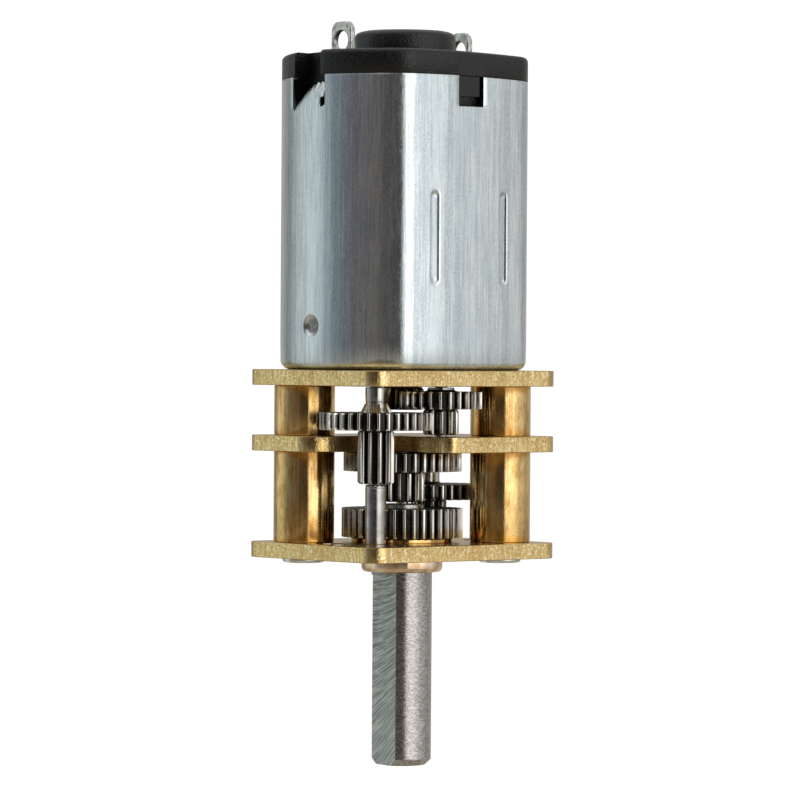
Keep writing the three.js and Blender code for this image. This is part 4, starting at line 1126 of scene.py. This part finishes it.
toward = Vector((-math.sin(CAMERA_TURN), -math.cos(CAMERA_TURN), math.tan(CAMERA_TILT))).normalized()
rightward = Vector((math.cos(CAMERA_TURN), -math.sin(CAMERA_TURN), 0))
aim = rightward * AIM_SHIFT + Vector((0, 0, AIM_HEIGHT))
camera_data = bpy.data.cameras.new("camera")
camera_data.lens = CAMERA_LENS
camera_data.clip_start = 0.01
camera = object_from("camera", camera_data)
camera.location = aim + toward * CAMERA_DISTANCE
look = toward.to_track_quat("Z", "Y").to_matrix().to_4x4()
camera.matrix_world = Matrix.Translation(camera.location) @ look @ Matrix.Rotation(CAMERA_ROLL, 4, "Z")
scene.camera = camera

floor_bm = bmesh.new()
bmesh.ops.create_circle(floor_bm, cap_ends=True, segments=64, radius=0.1)
floor = object_from_bmesh("floor", floor_bm)
floor.location.z = -0.03
floor.visible_glossy = False
floor.visible_diffuse = False
floor_finish = Finish("floor_white", (0.9, 0.9, 0.9), 0.8, 0.0)
floor_finish.shader.inputs["Emission Color"].default_value = (1, 1, 1, 1)
floor_finish.shader.inputs["Emission Strength"].default_value = 0.8
floor.data.materials.append(floor_finish.material)

world = bpy.data.worlds.new("studio")
scene.world = world
world.use_nodes = True
world.node_tree.nodes.clear()


def world_node(kind, inputs=None, **settings):
    return add_node(world.node_tree, kind, inputs, **settings)


# The studio's walls: (bearing in degrees, colour). The camera's side is 0 and its left is negative.
WALLS = [
    (-180, (0.42, 0.4, 0.37)), (-160, (0.5, 0.48, 0.43)), (-141, (0.24, 0.27, 0.27)),
    (-130, (0.36, 0.4, 0.4)), (-114, (0.74, 0.8, 0.79)), (-88, (0.68, 0.76, 0.77)),
    (-78, (0.34, 0.4, 0.43)), (-60, (0.18, 0.21, 0.24)), (-48, (0.13, 0.12, 0.13)),
    (-22, (0.11, 0.09, 0.08)), (-14, (0.045, 0.04, 0.038)), (15, (0.036, 0.033, 0.032)),
    (19, (1.5, 1.5, 1.44)), (38, (2.0, 2.02, 2.0)), (56, (1.7, 1.72, 1.74)),
    (66, (1.25, 1.28, 1.29)), (74, (0.94, 0.97, 0.98)), (79, (0.8, 0.83, 0.84)),
    (84, (0.75, 0.77, 0.78)), (94, (0.76, 0.76, 0.76)), (112, (0.46, 0.46, 0.46)),
    (145, (0.5, 0.5, 0.48)), (168, (0.55, 0.52, 0.47)), (180, (0.42, 0.4, 0.37)),
]
CEILING = (0.9, 0.9, 0.9)
TABLE = (0.46, 0.42, 0.34)
facing_turn = math.pi / 2 + CAMERA_TURN
coordinate = world_node("TexCoord").outputs["Generated"]
turned = world_node("Mapping", {"Vector": coordinate, "Rotation": (0, 0, facing_turn)}).outputs[0]
parts = world_node("SeparateXYZ", {"Vector": turned}).outputs
bearing = world_node("Math", {0: parts[1], 1: parts[0]}, operation="ARCTAN2").outputs[0]
share = world_node("MapRange", {"Value": bearing, "From Min": -math.pi, "From Max": math.pi}).outputs[0]
ramp = world_node("ValToRGB", {"Fac": share})
stops = ramp.color_ramp.elements
stops[0].color, stops[1].color = (*WALLS[0][1], 1), (*WALLS[-1][1], 1)
for angle, colour in WALLS[1:-1]:
    stops.new((angle + 180) / 360).color = (*colour, 1)
overhead = world_node("MapRange", {"Value": parts[2], "From Min": 0.35, "From Max": 0.8}).outputs[0]
upper = world_node("Mix", {0: overhead, 6: ramp.outputs[0], 7: CEILING}, data_type="RGBA").outputs[2]
below = world_node("MapRange", {"Value": parts[2], "From Min": -0.12, "From Max": -0.55}).outputs[0]
whole = world_node("Mix", {0: below, 6: upper, 7: TABLE}, data_type="RGBA").outputs[2]
room = world_node("Background", {"Color": whole, "Strength": 1.0}).outputs[0]
white = world_node("Background", {"Color": (1, 1, 1), "Strength": 1.05}).outputs[0]
seen = world_node("LightPath").outputs["Is Camera Ray"]
blend = world_node("MixShader", {0: seen, 1: room, 2: white}).outputs[0]
world_node("OutputWorld", {"Surface": blend})
scene.view_settings.view_transform = "Standard"
